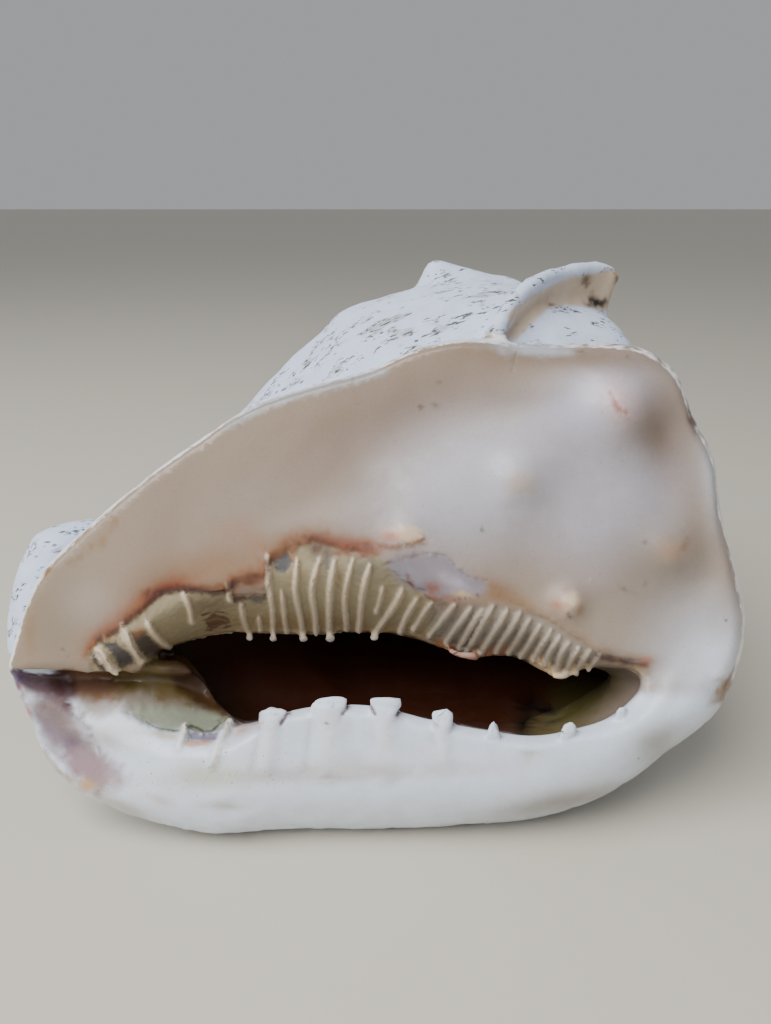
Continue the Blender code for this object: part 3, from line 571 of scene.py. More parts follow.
def marksIn(zone, marks):  # the zone holds for all marks that name none of their own
    for mark in marks:
        mark["zone"] = mark["zone"] or zone
    return marks


def nearPoints(points, low, high):  # numbers of the points within a box across and up
    return np.flatnonzero(np.all((points[:, :2] > low) & (points[:, :2] < high), 1))


def markMask(mark, points):  # how much of a mark lies on each face point, from 0 to 1
    places, reach = np.array(mark["places"]), mark["reach"]
    mask = np.zeros(len(points))
    near = nearPoints(points, places.min(0) - reach, places.max(0) + reach)
    if not len(near):
        return mask
    points = points[near]
    across, up = points[:, 0], points[:, 1]
    rough = 0
    if mark["ragged"]:
        rough = (cloud(points, 2.6, 3) * 0.6 + cloud(points, 1.1, 4) * 0.4) * mark["ragged"] * 1.6
    if "outline" in mark:
        mask[near] = ease(0.5 + (outlineAway(across, up, mark["outline"]) + rough) / mark["soft"])
    elif "line" in mark:
        mask[near] = ease(0.5 + (mark["half"] - lineAway(across, up, mark["line"]) + rough) / mark["soft"])
    else:
        turn = math.radians(mark["turn"])
        offAcross, offUp = across - mark["middle"][0], up - mark["middle"][1]
        along = (offAcross * math.cos(turn) + offUp * math.sin(turn)) / mark["radii"][0]
        beside = (offUp * math.cos(turn) - offAcross * math.sin(turn)) / mark["radii"][1]
        away = np.sqrt(along**2 + beside**2) + rough / min(mark["radii"])
        mask[near] = np.exp(-np.clip(away, 0, 9) ** mark["power"])
    return mask


def foldMask(points, wider, soft):  # 1 on the crest of a fold
    mask = np.zeros(len(points))
    for course, widths in foldCourses:
        near = nearPoints(points, course.min(0) - 4, course.max(0) + 4)
        if not len(near):
            continue
        across, up = points[near, 0], points[near, 1]
        best = np.full(len(near), -9.0)
        for one, two, width in zip(course, course[1:], widths):
            best = np.maximum(best, width - alongLine(across, up, one, two)[1])
        mask[near] = np.maximum(mask[near], ease(0.5 + (best + wider) / soft))
    return mask


bandLeft = [
    (-106.4, -51.5), (-103.9, -47.2), (-97, -43.2), (-88, -36.7), (-84.1, -32.8), (-79.7, -29.2),
    (-71.5, -27.7), (-58.1, -28.8), (-52.4, -30.2), (-44.5, -29.9), (-41.6, -25.9), (-43, -19.4),
    (-35.1, -14.4), (-26.5, -10.4), (-20, -12.2), (-12.8, -13.7), (-4.1, -15.8), (0.9, -19.4),
    (5.2, -24.5), (11.7, -28.1), (18.2, -32.4), (19.6, -49.7), (10.6, -46.4), (-7.4, -44.6), (-52.4, -45),
    (-61.4, -47.5), (-76.9, -51.8), (-88.7, -55.4), (-99.9, -60.5), (-105.7, -60.5),
]
bandRight = [
    (13.9, -30.2), (23.2, -33.8), (34, -33.1), (44.8, -33.8), (53.8, -36.7), (62.8, -41.8), (73.6, -49),
    (79.4, -51.8), (94.5, -54.7), (95.2, -59), (71.1, -59), (64.6, -61.9), (58.1, -61.2), (46.6, -53.3),
    (32.2, -55.4), (23.2, -54), (16, -49.7),
]
flangeOutline = [
    (35.5, 63.7), (38.3, 67.3), (42.3, 69.8), (48.4, 75.2), (57.4, 80.6), (67.1, 84.6), (77.2, 86.4),
    (85.1, 87.8), (85.9, 83.5), (84.4, 76.3), (81.9, 71.6), (74.3, 73.4), (64.6, 74.5), (58.5, 73.1),
    (52, 67), (47, 61.9), (41.2, 62.6),
]
bandTopEdge = [
    (-105.7, -49.7), (-103.5, -46.1), (-97, -42.5), (-88.4, -35.6), (-84.8, -32), (-80.5, -29.2),
    (-74, -27.7), (-66.8, -28.8), (-58.1, -29.2), (-55.3, -25.6), (-48.8, -23.4), (-43, -22.7),
    (-42.3, -17.3), (-36.5, -14), (-30.8, -10.4), (-25.7, -9.4), (-20, -11.2), (-12.8, -12.6),
    (-5.6, -13.3),
]
stainRight = [
    (13.9, -28.8), (16.7, -31.3), (23.9, -32.4), (32.2, -31.7), (41.2, -30.2), (49.1, -33.8),
    (59.9, -39.6), (74.3, -49), (81.5, -52.2), (93.4, -53.6),
]

# Colours are given as they are seen in daylight, 0 to 255; sizes and lifts are in mm
# The face's own tints, partly with the light and shade of its broad relief painted in: whiter along the broad
# fold and bumps, darker on the bumps' shaded sides
shieldTintsLightAndShade = marksIn("shield", [
    spot((176, 160, 146), 0.7, (-20, 25.9), (61.2, 21.6), 28),
    spot((157, 141, 127), 0.8, (7, 36), (39.6, 12.96), 22),
    spot((166, 142, 119), 0.7, (-74, -23), (32.4, 7.2), 20),
    spot((190, 178, 170), 0.8, (-20, 0), (27, 5.76), 12),
    # partly the face's pale lilac, partly painted highlight along the broad fold and the bumps
    spot((195, 194, 202), 1.0, (32.2, 9.7), (37.8, 23.76), 20, power=2.4),
    spot((193, 192, 202), 1.0, (73.6, 38.5), (23.76, 13.68), 25, power=2.6),
    spot((192, 190, 199), 0.95, (80.8, 4.3), (30.6, 27), 0, power=2.6),
    spot((156, 139, 121), 0.9, (62.8, 56.4), (34.2, 5), -3),
    spot((164, 151, 142), 0.55, (48.4, 41.4), (15.12, 4.68), 4),
    # painted shade on the lower right side of the bump above it
    spot((137, 122, 110), 0.75, (98.1, 27.4), (7.92, 15.84), 15),
    spot((163, 152, 140), 0.9, (97, -22.7), (18, 21.6), 0),
    # painted shade on the right side of the lowest bump at the right
    spot((154, 142, 128), 0.65, (112.5, -11.9), (6.12, 21.6), 10),
    spot((180, 169, 156), 0.8, (77.2, -42.5), (23.4, 6.48), -25),
    spot((201, 206, 214), 0.95, (119, -56.2), (20.88, 22.32), 30),
    spot((166, 155, 138), 0.8, (-116.5, -39.6), (15.12, 15.84), 0),
    spot((196, 199, 205), 0.7, (118.6, 11.5), (4.32, 18), 10),
    spot((178, 168, 160), 0.5, (-48.8, 4.3), (21.6, 9.36), 25),
])
rimTints = marksIn("shield", [
    line((174, 175, 176), 0.85, [(-56.7, 31.3), (-42.3, 38.5), (-27.2, 43.6), (-12.8, 47.2), (-0.5, 50.4)],
         1.3, 1.8, 0.4),
    spot((186, 190, 198), 0.85, (54, 58.6), (14, 2.6), -3, 0.8, 3),
    line((206, 208, 214), 0.9, [(16, 60.5), (23.2, 61.6), (34, 61.9), (41.2, 61.6)], 0.58, 1.08, 0.2),
    spot((104, 68, 50), 0.95, (110.3, 33.8), (1.3, 5.04), 12, 0.6, 4, -0.5),
    spot((168, 138, 92), 0.85, (121.1, -64.8), (2.6, 6.0), -28, 1.0, 3, zone="any"),
    spot((130, 94, 58), 0.8, (122.9, -62.6), (0.9, 4.8), -22, 0.5, zone="any"),
    line((138, 130, 122), 0.6, [(48.1, 60.8), (47, 57.6), (46.3, 54.4), (45.2, 50.4)], 0.2, 0.5, 0.1, -0.12),
    line((140, 132, 122), 0.5, [(-12.1, 49), (-11.3, 43.2), (-9.9, 38.9)], 0.2, 0.5, 0.1, -0.1),
])
stainMarks = marksIn("shield", [
    line((176, 146, 120), 0.75, bandTopEdge, 3.96, 9.36, 1.6),
    line((150, 102, 68), 0.9, bandTopEdge, 2.4, 4.4, 1.4),
    spot((138, 84, 54), 0.9, (-79.7, -27.7), (10.08, 3.24), 28, 1.2),
    spot((146, 96, 62), 0.85, (-100.6, -43.2), (7.2, 2.88), 45, 1.2),
    spot((158, 116, 84), 0.7, (-92.7, -36), (7.92, 3.24), 40, 1.2),
    spot((176, 148, 120), 0.5, (-61.7, -19.4), (15.84, 4.68), 4, 1),
    line((170, 140, 112), 0.5, stainRight, 1.8, 4.32, 1.2),
])
shieldMarks = marksIn("shield", [
    # painted shadow under the shield's edge, where it steps down to the band
    line((84, 54, 46), 0.85, bandTopEdge[1:10], 1.0, 1.6, 0.9, -0.15, zone="any"),
    line((104, 74, 66), 0.75, bandTopEdge[9:], 1.0, 1.9, 1.1, zone="any"),
    spot((86, 58, 62), 0.8, (-81.5, -28.8), (5.76, 1.44), 12, 0.8, zone="any"),
    spot((86, 58, 62), 0.75, (-70.4, -27.4), (5.76, 1.08), -2, 0.8, zone="any"),
    line((128, 102, 80), 0.5, stainRight[4:], 0.36, 1.08, 0.6),
    spot((166, 138, 110), 0.85, (38.3, -28.1), (9.36, 3.96), -12, 0.8),
    spot((172, 148, 122), 0.7, (48.4, -33.1), (5.76, 2.88), -30, 0.8),
    spot((150, 106, 88), 0.85, (-12.8, -12.2), (9.36, 2.88), -6, 1.6),
    spot((116, 84, 74), 0.8, (-24.3, -12.2), (3.6, 3.24), 0, 1.4),
    spot((160, 132, 106), 0.6, (-36.2, -12.2), (5.76, 2.88), 30, 1.4),
    area((168, 162, 172), 0.85, [(-0.5, -19.4), (4.5, -15.8), (14.2, -15.1), (22.5, -16.6), (29, -22),
         (36.2, -25.2), (37.6, -28.1), (30.4, -31), (19.6, -30.2), (12.4, -29.5), (5.2, -28.1),
         (0.9, -23.8)], 3.0, 1.2, -0.45),
    spot((180, 182, 190), 0.5, (8.8, -23.8), (5.76, 3.24), -10, 1.2),
    spot((196, 192, 204), 0.5, (25.4, -25.2), (5.76, 2.16), -25, 1),
    line((128, 102, 112), 0.4, [(-0.2, -19.4), (6.3, -16.9), (14.6, -14.6), (22.1, -15.5), (25.7, -19.8),
         (29.3, -23), (36.2, -24.5)], 0.25, 0.6, 0.25, -0.15),
    line((146, 100, 82), 0.8, [(7.7, -22.7), (9.9, -27.4), (12.8, -31), (14.2, -33.1)], 0.72, 1.44, 0.5, 0.2),
    spot((166, 114, 84), 0.85, (17.1, -27.7), (2.88, 2.52), -30, 1.2),
    spot((160, 118, 88), 0.7, (22.9, -31), (5.04, 1.44), -10, 0.8),
    spot((214, 190, 140), 0.9, (27.2, -29.5), (2.16, 1.08), 0, 1.0, 2, 0.3),
    line((110, 84, 64), 0.6, [(24.7, -31.7), (29.7, -30.6), (34.7, -29.2)], 0.3, 0.6, 0.3),
    spot((216, 198, 174), 0.9, (7, -8.3), (7.92, 2.88), -8, 1.6, 4, 0.35),
    spot((198, 150, 140), 0.8, (1.3, -8.6), (3.6, 2.16), 0, 1.0),
    line((156, 114, 84), 0.8, [(-2.7, -11.9), (2.3, -12.6), (8.1, -11.9), (13.9, -9.7)], 0.72, 1.44, 0.6),
    line((150, 100, 70), 0.5, [(4.5, -13), (8.8, -12.6), (15.3, -11.2)], 0.25, 0.6, 0.3),
    spot((206, 188, 172), 0.85, (65.7, -33.1), (4.68, 4.32), 0, 1.6, 3, 0.5),
    spot((190, 146, 122), 0.8, (62.1, -33.1), (2.52, 2.52), 0, 1.2),
    spot((220, 206, 184), 0.8, (67.1, -31.7), (1.8, 2.16), 0, 1.5),
    spot((62, 44, 32), 0.95, (66.1, -37.8), (1.08, 0.86), 0, 0.8),
    spot((150, 122, 92), 0.6, (69.7, -36), (1.44, 2.88), -20, 1),
    spot((190, 168, 150), 0.8, (103.1, -13.7), (5.76, 4.32), 15, 0.8, 3),
    spot((150, 128, 104), 0.6, (107.5, -11.5), (1.44, 3.24), -25, 1),
    spot((198, 187, 176), 0.75, (48.4, 10.4), (5.76, 4.68), 0, 0.6, 3),
    spot((214, 186, 180), 0.6, (83.7, 39.6), (5.4, 7.92), 20, 1.5),
    line((188, 146, 136), 0.8, [(80.8, 43.2), (82.3, 40.3), (84.1, 37.1), (86.9, 35.6)], 0.5, 1.2, 0.7, -0.2),
    line((184, 148, 138), 0.5, [(79.4, 41.8), (81.5, 38.9), (85.1, 34.6), (88.7, 33.1)], 0.3, 1.2, 0.7),
    spot((188, 150, 132), 0.45, (-54.5, -5.4), (6.48, 3.6), 20),
    spot((184, 146, 116), 0.4, (-47.3, -10.4), (5.04, 3.24), 0),
    spot((168, 140, 84), 0.75, (-99.2, -6.1), (3.96, 1.44), 40, 1.2),
    spot((170, 142, 84), 0.75, (-105.3, -12.2), (2.88, 0.94), 20, 0.8),
    spot((160, 140, 100), 0.6, (-110, -16.2), (4.32, 1.44), 30, 1.4),
    spot((150, 118, 66), 0.8, (-122.2, -22.3), (2.16, 0.86), 50, 0.8),
    spot((170, 148, 120), 0.6, (-128, -43.9), (2.16, 9.36), 0),
    spot((190, 178, 170), 0.6, (-106.4, -31.7), (10.8, 9.36), 30),
    line((110, 96, 78), 0.75, [(-116.1, -49), (-115.4, -50.4), (-114.3, -51.8)], 0.3, 0.6),
    line((126, 112, 96), 0.5, [(40.1, -34.6), (48.4, -36), (59.2, -38.5)], 0.25, 0.7, 0.3, -0.15),
    spot((84, 62, 48), 0.9, (18.3, 38.1), (0.9, 0.6), 0, 0.2),
    spot((120, 98, 82), 0.8, (12.7, 37.9), (0.7, 0.5)),
    spot((128, 106, 90), 0.7, (19.3, 46.4), (0.8, 0.6)),
    spot((110, 86, 70), 0.8, (70, 57.8), (1.0, 0.5)),
    spot((130, 104, 84), 0.8, (82.6, 60.3), (2.4, 0.6), 8, 0.4),
    spot((120, 98, 80), 0.7, (86.9, 55.9), (0.6, 0.8)),
    spot((110, 92, 74), 0.8, (34.7, -6.8), (0.7, 0.5)),
    spot((120, 100, 84), 0.8, (93.8, -10.8), (0.9, 0.6)),
    spot((110, 92, 76), 0.8, (60.7, -42.8), (0.8, 0.5)),
    spot((124, 104, 84), 0.7, (93.1, -26.3), (0.7, 0.5)),
    spot((130, 110, 90), 0.6, (87.3, -28.1), (2.4, 0.7), -25, 0.5),
    line((92, 66, 70), 0.8, [(75.8, -51.5), (81.5, -53.3), (88, -54.4), (93.8, -55.1)], 0.94, 2.16, 0.5,
         zone="any"),
    spot((196, 142, 110), 0.7, (93.8, -54), (2.88, 2.16), 0, 0.6),
])


def shadeBetweenFolds(first):  # painted shade between neighbouring folds, from the fold of that number on
    strokes = []
    for (one, _), (two, _) in zip(foldCourses[first:-1], foldCourses[first + 1:]):
        middle = (one + two) / 2
        course = [tuple(point) for point in middle[len(middle) // 3:-1]]
        # each is a line of painted shade, sunk a little, down the middle between two folds
        strokes.append(line((112, 108, 102), 0.6, course, 0.35, 0.9, 0.2, -0.3, zone="any"))
    return strokes


# painted shade between the close-set folds at the right
shieldMarks += shadeBetweenFolds(lipFolds["closeSet"])
bandMarks = marksIn("band", [
    area((96, 72, 62), 0.85, [(-57.4, -28.8), (-54.5, -25.2), (-42.3, -23.4), (-40.9, -30.2), (-44.5, -32.8),
         (-49.5, -31.7), (-53.8, -33.1)], 1.0, 0.6, -0.4),
    spot((128, 128, 122), 0.8, (-46.3, -31), (2.52, 1.8), 0, 0.6),
    # painted shade in the sunk recesses between the folds at the left
    area((74, 70, 78), 0.9, [(-105.7, -50.8), (-103.1, -50), (-99.2, -56.2), (-101.3, -58), (-104.9, -54.7)],
         0.8, 0.3, -0.9),
    area((80, 76, 82), 0.9, [(-102.4, -47.2), (-97, -47.2), (-92.7, -50.4), (-89.8, -54.4), (-94.9, -56.2),
         (-97.4, -51.5)], 1.0, 0.4, -0.8),
    area((92, 84, 82), 0.85, [(-92, -43.9), (-86.2, -43.2), (-81.9, -48.2), (-79, -51.1), (-87.7, -53.3),
         (-90.5, -49)], 1.2, 0.6, -0.6),
    spot((172, 124, 80), 0.8, (-89.1, -43.6), (2.88, 1.44), 35, 0.8),
    spot((172, 128, 84), 0.7, (-98.5, -43.9), (2.16, 1.8), 35, 0.8),
    area((96, 100, 110), 0.85, [(-40.9, -15.1), (-35.1, -13), (-33.7, -18), (-35.8, -21.6), (-39.4, -21.6)],
         0.9, 0.5, -0.5),
    spot((168, 128, 88), 0.7, (-32.9, -18), (1.8, 5.76), 0, 1.0),
    spot((84, 62, 62), 0.85, (-24.7, -13.3), (2.52, 2.88), 0, 0.8),
    spot((138, 88, 72), 0.85, (-14.2, -14.8), (7.92, 1.8), 0, 1.2),
    spot((112, 112, 116), 0.7, (-21.1, -17.3), (1.8, 5.76), 0, 0.8),
    spot((118, 116, 112), 0.6, (-7.4, -20.2), (6.48, 3.6), 0, 1.0),
    spot((150, 116, 84), 0.6, (-16.4, -22.7), (1.08, 5.04), 0, 0.8),
    area((94, 62, 50), 0.75, [(-65.7, -38.9), (-61.7, -36.4), (-57.4, -37.4), (-55.6, -39.6), (-58.9, -41.8),
         (-63.9, -41.8)], 1.0, 0.8, -0.4),
    line((66, 48, 40), 0.7, [(-66.1, -37.1), (-61.7, -35.6), (-56.7, -36.7)], 0.3, 0.6, 0.4),
    line((66, 48, 40), 0.7, [(-64.6, -42.5), (-60.7, -42.8), (-56, -41)], 0.3, 0.6, 0.4),
    line((170, 152, 128), 0.7, [(-63.9, -39.2), (-60.7, -38.2), (-57.4, -39.2)], 0.3, 0.6, 0.3),
    spot((112, 88, 74), 0.5, (23.2, -31.7), (10, 6), -20, 1.0),
    spot((104, 86, 66), 0.5, (-63.2, -33.5), (8, 2.4), 10, 1.0),
    spot((176, 148, 104), 0.5, (-30.8, -39.6), (21.6, 3.24), 0, 2.0),
    spot((178, 150, 104), 0.5, (-2, -43.2), (14.4, 2.16), -8, 1.6),
    line((192, 146, 116), 0.9, [(20.3, -47.5), (23.9, -50.4), (28.3, -51.8), (33.3, -52.2), (38.3, -50.8),
         (42.3, -49.7)], 2.2, 1.6, 0.5, zone="ledge"),
    line((216, 194, 164), 0.95, [(54.2, -53.6), (58.9, -57.6), (62.8, -59.4), (67.1, -58.7), (70.7, -55.8)],
         2.4, 1.6, 0.5, zone="ledge"),
])
floorMarks = marksIn("floor", [
    area((126, 92, 60), 0.95, [(-117.2, -51.5), (-84.8, -51.5), (-88.4, -61.9), (-94.9, -67),
         (-104.2, -68.4), (-111.4, -66.2), (-115, -63.4)], 4.5, 1.2),
    area((136, 122, 96), 0.9, [(-99.9, -64.1), (-84.8, -59), (-66.8, -60.5), (-51.7, -75.6), (-58.9, -77),
         (-68.2, -79.2), (-87.7, -75.6), (-94.9, -70.6)], 5, 1.0),
    area((160, 136, 106), 0.7, [(-112.9, -65.5), (-98.5, -64.8), (-94.9, -69.8), (-101.3, -74.9),
         (-108.5, -73.4)], 5, 1.0),
    area((104, 92, 54), 0.9, [(-99.9, -51.5), (-72.5, -46.1), (-66.8, -56.9), (-70.4, -64.1), (-81.2, -64.8),
         (-91.3, -64.1), (-98.5, -61.2)], 5, 1.6),
    area((128, 112, 76), 0.8, [(-84.8, -61.2), (-71.8, -59), (-64.6, -65.5), (-71.8, -69.1), (-81.9, -67.7)],
         5, 1.8),
    area((166, 172, 156), 0.95, [(-93.5, -72), (-86.2, -70), (-75.4, -70.5), (-65, -71.5), (-57.5, -74),
         (-55.3, -76.3), (-60.3, -77.8), (-65.3, -79.2), (-70, -77.4), (-73.3, -78.8), (-80.5, -78.1),
         (-86.2, -75.6)], 4.5, 0.8, -1.2),
    area((112, 104, 58), 0.6, [(-75.4, -64.1), (-64.6, -66.2), (-53.8, -73.4), (-57.4, -74.2),
         (-64.6, -69.8), (-71.8, -69.1)], 3, 1.6),
    area((76, 56, 34), 0.95, [(-82, -46.1), (-45.2, -46.1), (-44.5, -74.9), (-53.5, -76), (-61, -72.5),
         (-68.5, -69.5), (-74.5, -64), (-79.5, -56)], 4, 1.2),
    # partly the canal floor's dark purple, partly painted shade under the shield's overhanging edge
    area((84, 56, 62), 0.95, [(-138.1, -51.5), (-115, -53.3), (-112.9, -64.1), (-115, -69.8),
         (-121.5, -67.7), (-131.6, -65.5)], 5, 1.2),
    area((72, 46, 40), 0.75, [(-124.4, -54.7), (-113.6, -54.7), (-111.4, -64.8), (-115.7, -70.6),
         (-120.1, -65.5)], 5, 1.2),
    spot((104, 84, 122), 0.6, (-133, -59), (3.6, 2.88), 0),
    area((138, 116, 122), 0.9, [(-130.1, -66.2), (-120.8, -66), (-114.5, -66), (-108.5, -76.3),
         (-102.8, -85), (-98.5, -93.6), (-104.2, -100.1), (-113.6, -92.2), (-124.4, -79.2)], 7, 1.8),
    spot((106, 78, 70), 0.95, (-120.8, -70.9), (5.6, 3.6), 10, 0.8, 3),
    spot((172, 158, 168), 0.7, (-119.3, -81), (4.68, 3.6), -30),
    spot((112, 96, 114), 0.6, (-112.1, -82.8), (3.6, 2.16), -30),
    area((184, 160, 166), 0.8, [(-117.9, -87.1), (-108.5, -85), (-96.3, -91.4), (-92.7, -97.2),
         (-102.8, -100.8), (-111.4, -95)], 7, 1.8),
    spot((214, 178, 128), 0.95, (-107.8, -98.3), (3.24, 2.16), 0, 0.6),
    line((196, 168, 142), 0.7, [(-122.9, -86.4), (-118.6, -92.2), (-112.9, -97.2)], 0.72, 1.44, 0.4),
    line((180, 104, 84), 0.7, [(-131.6, -63.4), (-130.1, -67.7), (-128, -72.7)], 0.5, 1.08, 0.3),
    line((96, 74, 82), 0.8, [(-113.9, -69.1), (-112.1, -72.7), (-107.5, -77.4), (-102.8, -85.7)], 0.5, 1.3,
         0.3, -0.6),
    line((84, 88, 66), 0.85, [(-86.2, -75.6), (-84.1, -77), (-80.8, -78.1), (-76.5, -78.8), (-72.5, -78.5),
         (-70, -77), (-67.9, -77.8), (-65.3, -79.2), (-62.5, -78.8), (-59.6, -76.3)], 0.35, 0.7, 0.2, -0.2),
    spot((150, 132, 118), 0.6, (-115.7, -75.6), (5.76, 2.88), -40, 1.2, 3),
    spot((200, 182, 150), 0.7, (-81.2, -80.3), (6.48, 1.26), -8, 0.5),
    spot((186, 178, 170), 0.7, (-99.9, -81.4), (7.92, 5.04), -20),
])
lipMarks = marksIn("lip", [
    line((206, 207, 211), 0.5, [(-40.5, -74.5), (-41, -80), (-42.5, -92)], 2.2, 4.6, 0.4, 0.9),
    line((206, 207, 211), 0.5, [(-20, -71), (-20.2, -79), (-21.3, -94)], 3.2, 5.0, 0.4, 1.1),
    line((206, 207, 211), 0.5, [(0.2, -71), (0.2, -79), (0.1, -95)], 2.8, 5.0, 0.4, 1.0),
    line((206, 207, 211), 0.5, [(20.7, -74.5), (20.9, -82), (21.6, -93)], 1.8, 4.4, 0.4, 0.8),
    # painted shade along the sides of the low ridges below the teeth
    line((184, 177, 172), 0.5, [(-45.4, -78), (-46.6, -84), (-48.4, -93)], 0.5, 3.0, 0.5, -0.35),
    line((184, 179, 176), 0.45, [(-27.2, -76), (-28, -84), (-29.5, -94)], 0.5, 3.0, 0.5, -0.35),
    line((184, 179, 176), 0.45, [(-5.6, -76), (-6, -84), (-6.4, -94)], 0.5, 3.0, 0.5, -0.35),
    line((186, 180, 178), 0.45, [(17, -78), (16.8, -84), (16.4, -92)], 0.5, 2.6, 0.5, -0.3),
    line((188, 182, 178), 0.4, [(-13.4, -75), (-13, -84), (-13.6, -92)], 0.5, 3.0, 0.5, -0.25),
    line((188, 182, 178), 0.4, [(6, -75), (6.8, -84), (6.6, -92)], 0.5, 3.0, 0.5, -0.25),
    area((142, 130, 150), 0.85, [(-70.7, -78.8), (-66.1, -79.9), (-61.7, -79.6), (-59.6, -78.8),
         (-61, -82.4), (-65.3, -82.4), (-71.1, -82.1)], 0.8, 0.3, -0.7, zone="any"),
    area((210, 168, 130), 0.8, [(-72.2, -82.4), (-61.7, -82.4), (-62.5, -83.9), (-71.8, -84.6)], 0.9, 0.3,
         zone="any"),
    spot((112, 88, 92), 0.85, (-53.5, -76.7), (1.8, 0.86), 15, 0.4, zone="any"),
    line((212, 211, 206), 0.9, [(-72.2, -76.7), (-73.3, -80.6), (-74.3, -84.6)], 1.0, 1.1, 0.2, 0.3,
         zone="any"),
    line((212, 211, 208), 0.9, [(-56, -75.6), (-58.1, -80.3), (-59.9, -84.6), (-61.7, -90.7)], 1.2, 1.2, 0.2,
         0.3, zone="any"),
    line((196, 190, 184), 0.5, [(-54.2, -77.4), (-56.7, -82.8), (-59.2, -90.7)], 0.3, 1.0, 0.2, zone="any"),
    spot((216, 170, 134), 0.7, (-51.7, -78.8), (3.24, 1.44), 20, 0.6),
    spot((206, 164, 134), 0.7, (-46.6, -75.6), (4.32, 1.08), 20, 0.5),
    # painted shadow along the sides of the broad teeth
    line((122, 88, 98), 0.9, [(-34.7, -71.6), (-36.2, -74.2), (-37.6, -76.3)], 0.61, 0.94, 0.3, -0.5),
    line((124, 92, 96), 0.9, [(-13.5, -67.7), (-13.9, -70.9), (-15.3, -72.7)], 0.58, 0.94, 0.3, -0.5),
    line((130, 98, 102), 0.9, [(-5.4, -67.7), (-4.9, -70.6), (-3.8, -72.7)], 0.54, 0.86, 0.3, -0.4),
    line((120, 88, 94), 0.9, [(5.9, -68.8), (5.2, -71.3), (4.1, -73.1)], 0.58, 0.94, 0.3, -0.5),
    spot((142, 110, 110), 0.85, (18.2, -74.9), (1.08, 1.8), 10, 0.4),
    spot((150, 128, 120), 0.6, (-44.5, -73.4), (1.08, 2.52), -15, 0.4),
    spot((194, 186, 180), 0.7, (-23.6, -94.3), (61.2, 3.24), 2),
    spot((190, 176, 150), 0.6, (-95.6, -105.8), (12.96, 2.52), -22),
    spot((176, 168, 158), 0.8, (62.8, -104.4), (28.8, 4.32), 12),
    spot((188, 176, 150), 0.5, (52, -87.1), (4.32, 1.44), 0, 0.8),
    spot((176, 172, 162), 0.7, (97.4, -82.8), (9.36, 7.2), 40),
    spot((198, 198, 182), 0.7, (-64.6, -95), (12.96, 5.04), -6),
    spot((192, 182, 168), 0.6, (-57.8, -105.8), (7.2, 1.44), -4),
    spot((206, 186, 178), 0.5, (-81.2, -103.7), (5.76, 1.44), -20),
])
hollowMarks = marksIn("inside", [
    area((104, 98, 58), 0.8, [(58.5, -64.1), (65, -57.6), (73.6, -56.2), (78.7, -64.1), (73.6, -72),
         (63.5, -75.6)], 5, 1.4),
    spot((14, 8, 5), 1.0, (49.1, -73.8), (3.6, 7.2), 0, 1.6, 4),
    spot((20, 12, 8), 1.0, (58.5, -73.4), (2.16, 3.6), -15, 1.2, 4),
])
flangeMarks = marksIn("flange", [
    spot((70, 46, 32), 0.9, (39.4, 65.9), (3.6, 1.8), 25, 1.6),
    spot((34, 22, 16), 0.95, (38.3, 64.1), (2.16, 0.72), 10, 0.8),
    spot((92, 66, 46), 0.85, (72.2, 83.5), (1.8, 2.88), -8, 1.2),
    spot((40, 26, 18), 0.95, (83.3, 82.1), (0.72, 3.96), 6, 0.8),
    spot((28, 18, 12), 1.0, (77.2, 75.2), (3.24, 2.16), 30, 1.8),
    spot((30, 20, 14), 0.95, (73.6, 76.3), (1.08, 2.52), -15, 0.9),
    spot((48, 34, 26), 0.9, (50.9, 64.8), (1.08, 0.72), 0, 0.6),
    spot((84, 66, 50), 0.7, (62.1, 74.2), (5.04, 0.43), -10, 0.6),
    spot((96, 78, 60), 0.7, (80.5, 87.1), (1.44, 0.72), 0, 0.6),
    spot((110, 92, 72), 0.6, (71.5, 71.3), (2.88, 0.72), 10, 0.8),
])

coilAxis = np.array((0.929, 0.254, -0.269))  # across, up and relief of the whorl's axis
coilAxis /= np.linalg.norm(coilAxis)
coilSide = np.cross((0, 0, 1), coilAxis)
coilSide /= np.linalg.norm(coilSide)
coilTurned = np.stack((coilAxis, coilSide, np.cross(coilAxis, coilSide)), 1)


def onFlange(relief):  # the old lip's flange stands this far behind the face
    return (relief < -12) & (relief > -85)


spire = {
    "apex": (125, 22, -94), "foot": (60, 14, -85),  # face points on the coil's axis
    "suture": 50.0,  # mm from the axis where the outermost suture starts
    "growth": 1.75,  # how much wider the coil grows with each turn
    "startTurn": 0.35,
    "reach": 60.0,
    "depth": 0.065,  # of the groove, as a share of its distance from the axis
    "knobs": 9,  # on each turn
}


def spireCoil(rowPoints, normals):  # how far out each point lies on its turn, 0 to 1, and where the spire is
    apex, foot = fromFace([spire["apex"], spire["foot"]])
    axis = (apex - foot) / np.linalg.norm(apex - foot)
    sideOne = np.cross(axis, (0, 0, 1))
    sideOne /= np.linalg.norm(sideOne)
    sideTwo = np.cross(axis, sideOne)
    reached = (rowPoints - apex) * 1000
    one, two = reached @ sideOne, reached @ sideTwo
    away = np.hypot(one, two)
    turn = np.arctan2(two, one) / (2 * math.pi) + spire["startTurn"]
    place = np.log(np.maximum(away, 1) / spire["suture"]) / math.log(spire["growth"]) - turn
    here = ease((normals @ axis - 0.15) / 0.3) * ease((spire["reach"] - away) / 14)
    here *= ease((reached @ axis + spire["reach"]) / 10)
    return place - np.floor(place), away, turn, here


surfaceRelief = {  # mm
    "growthLines": 0.14, "cords": 0.14, "weathering": 0.30, "pits": 0.30,  # of the whorl
    "bandDeep": 0.8, "bandRough": 0.12,  # of the broken band under the shield
    "rimWear": 0.7, "swells": 0.14, "ripples": 0.08,  # of the face
}


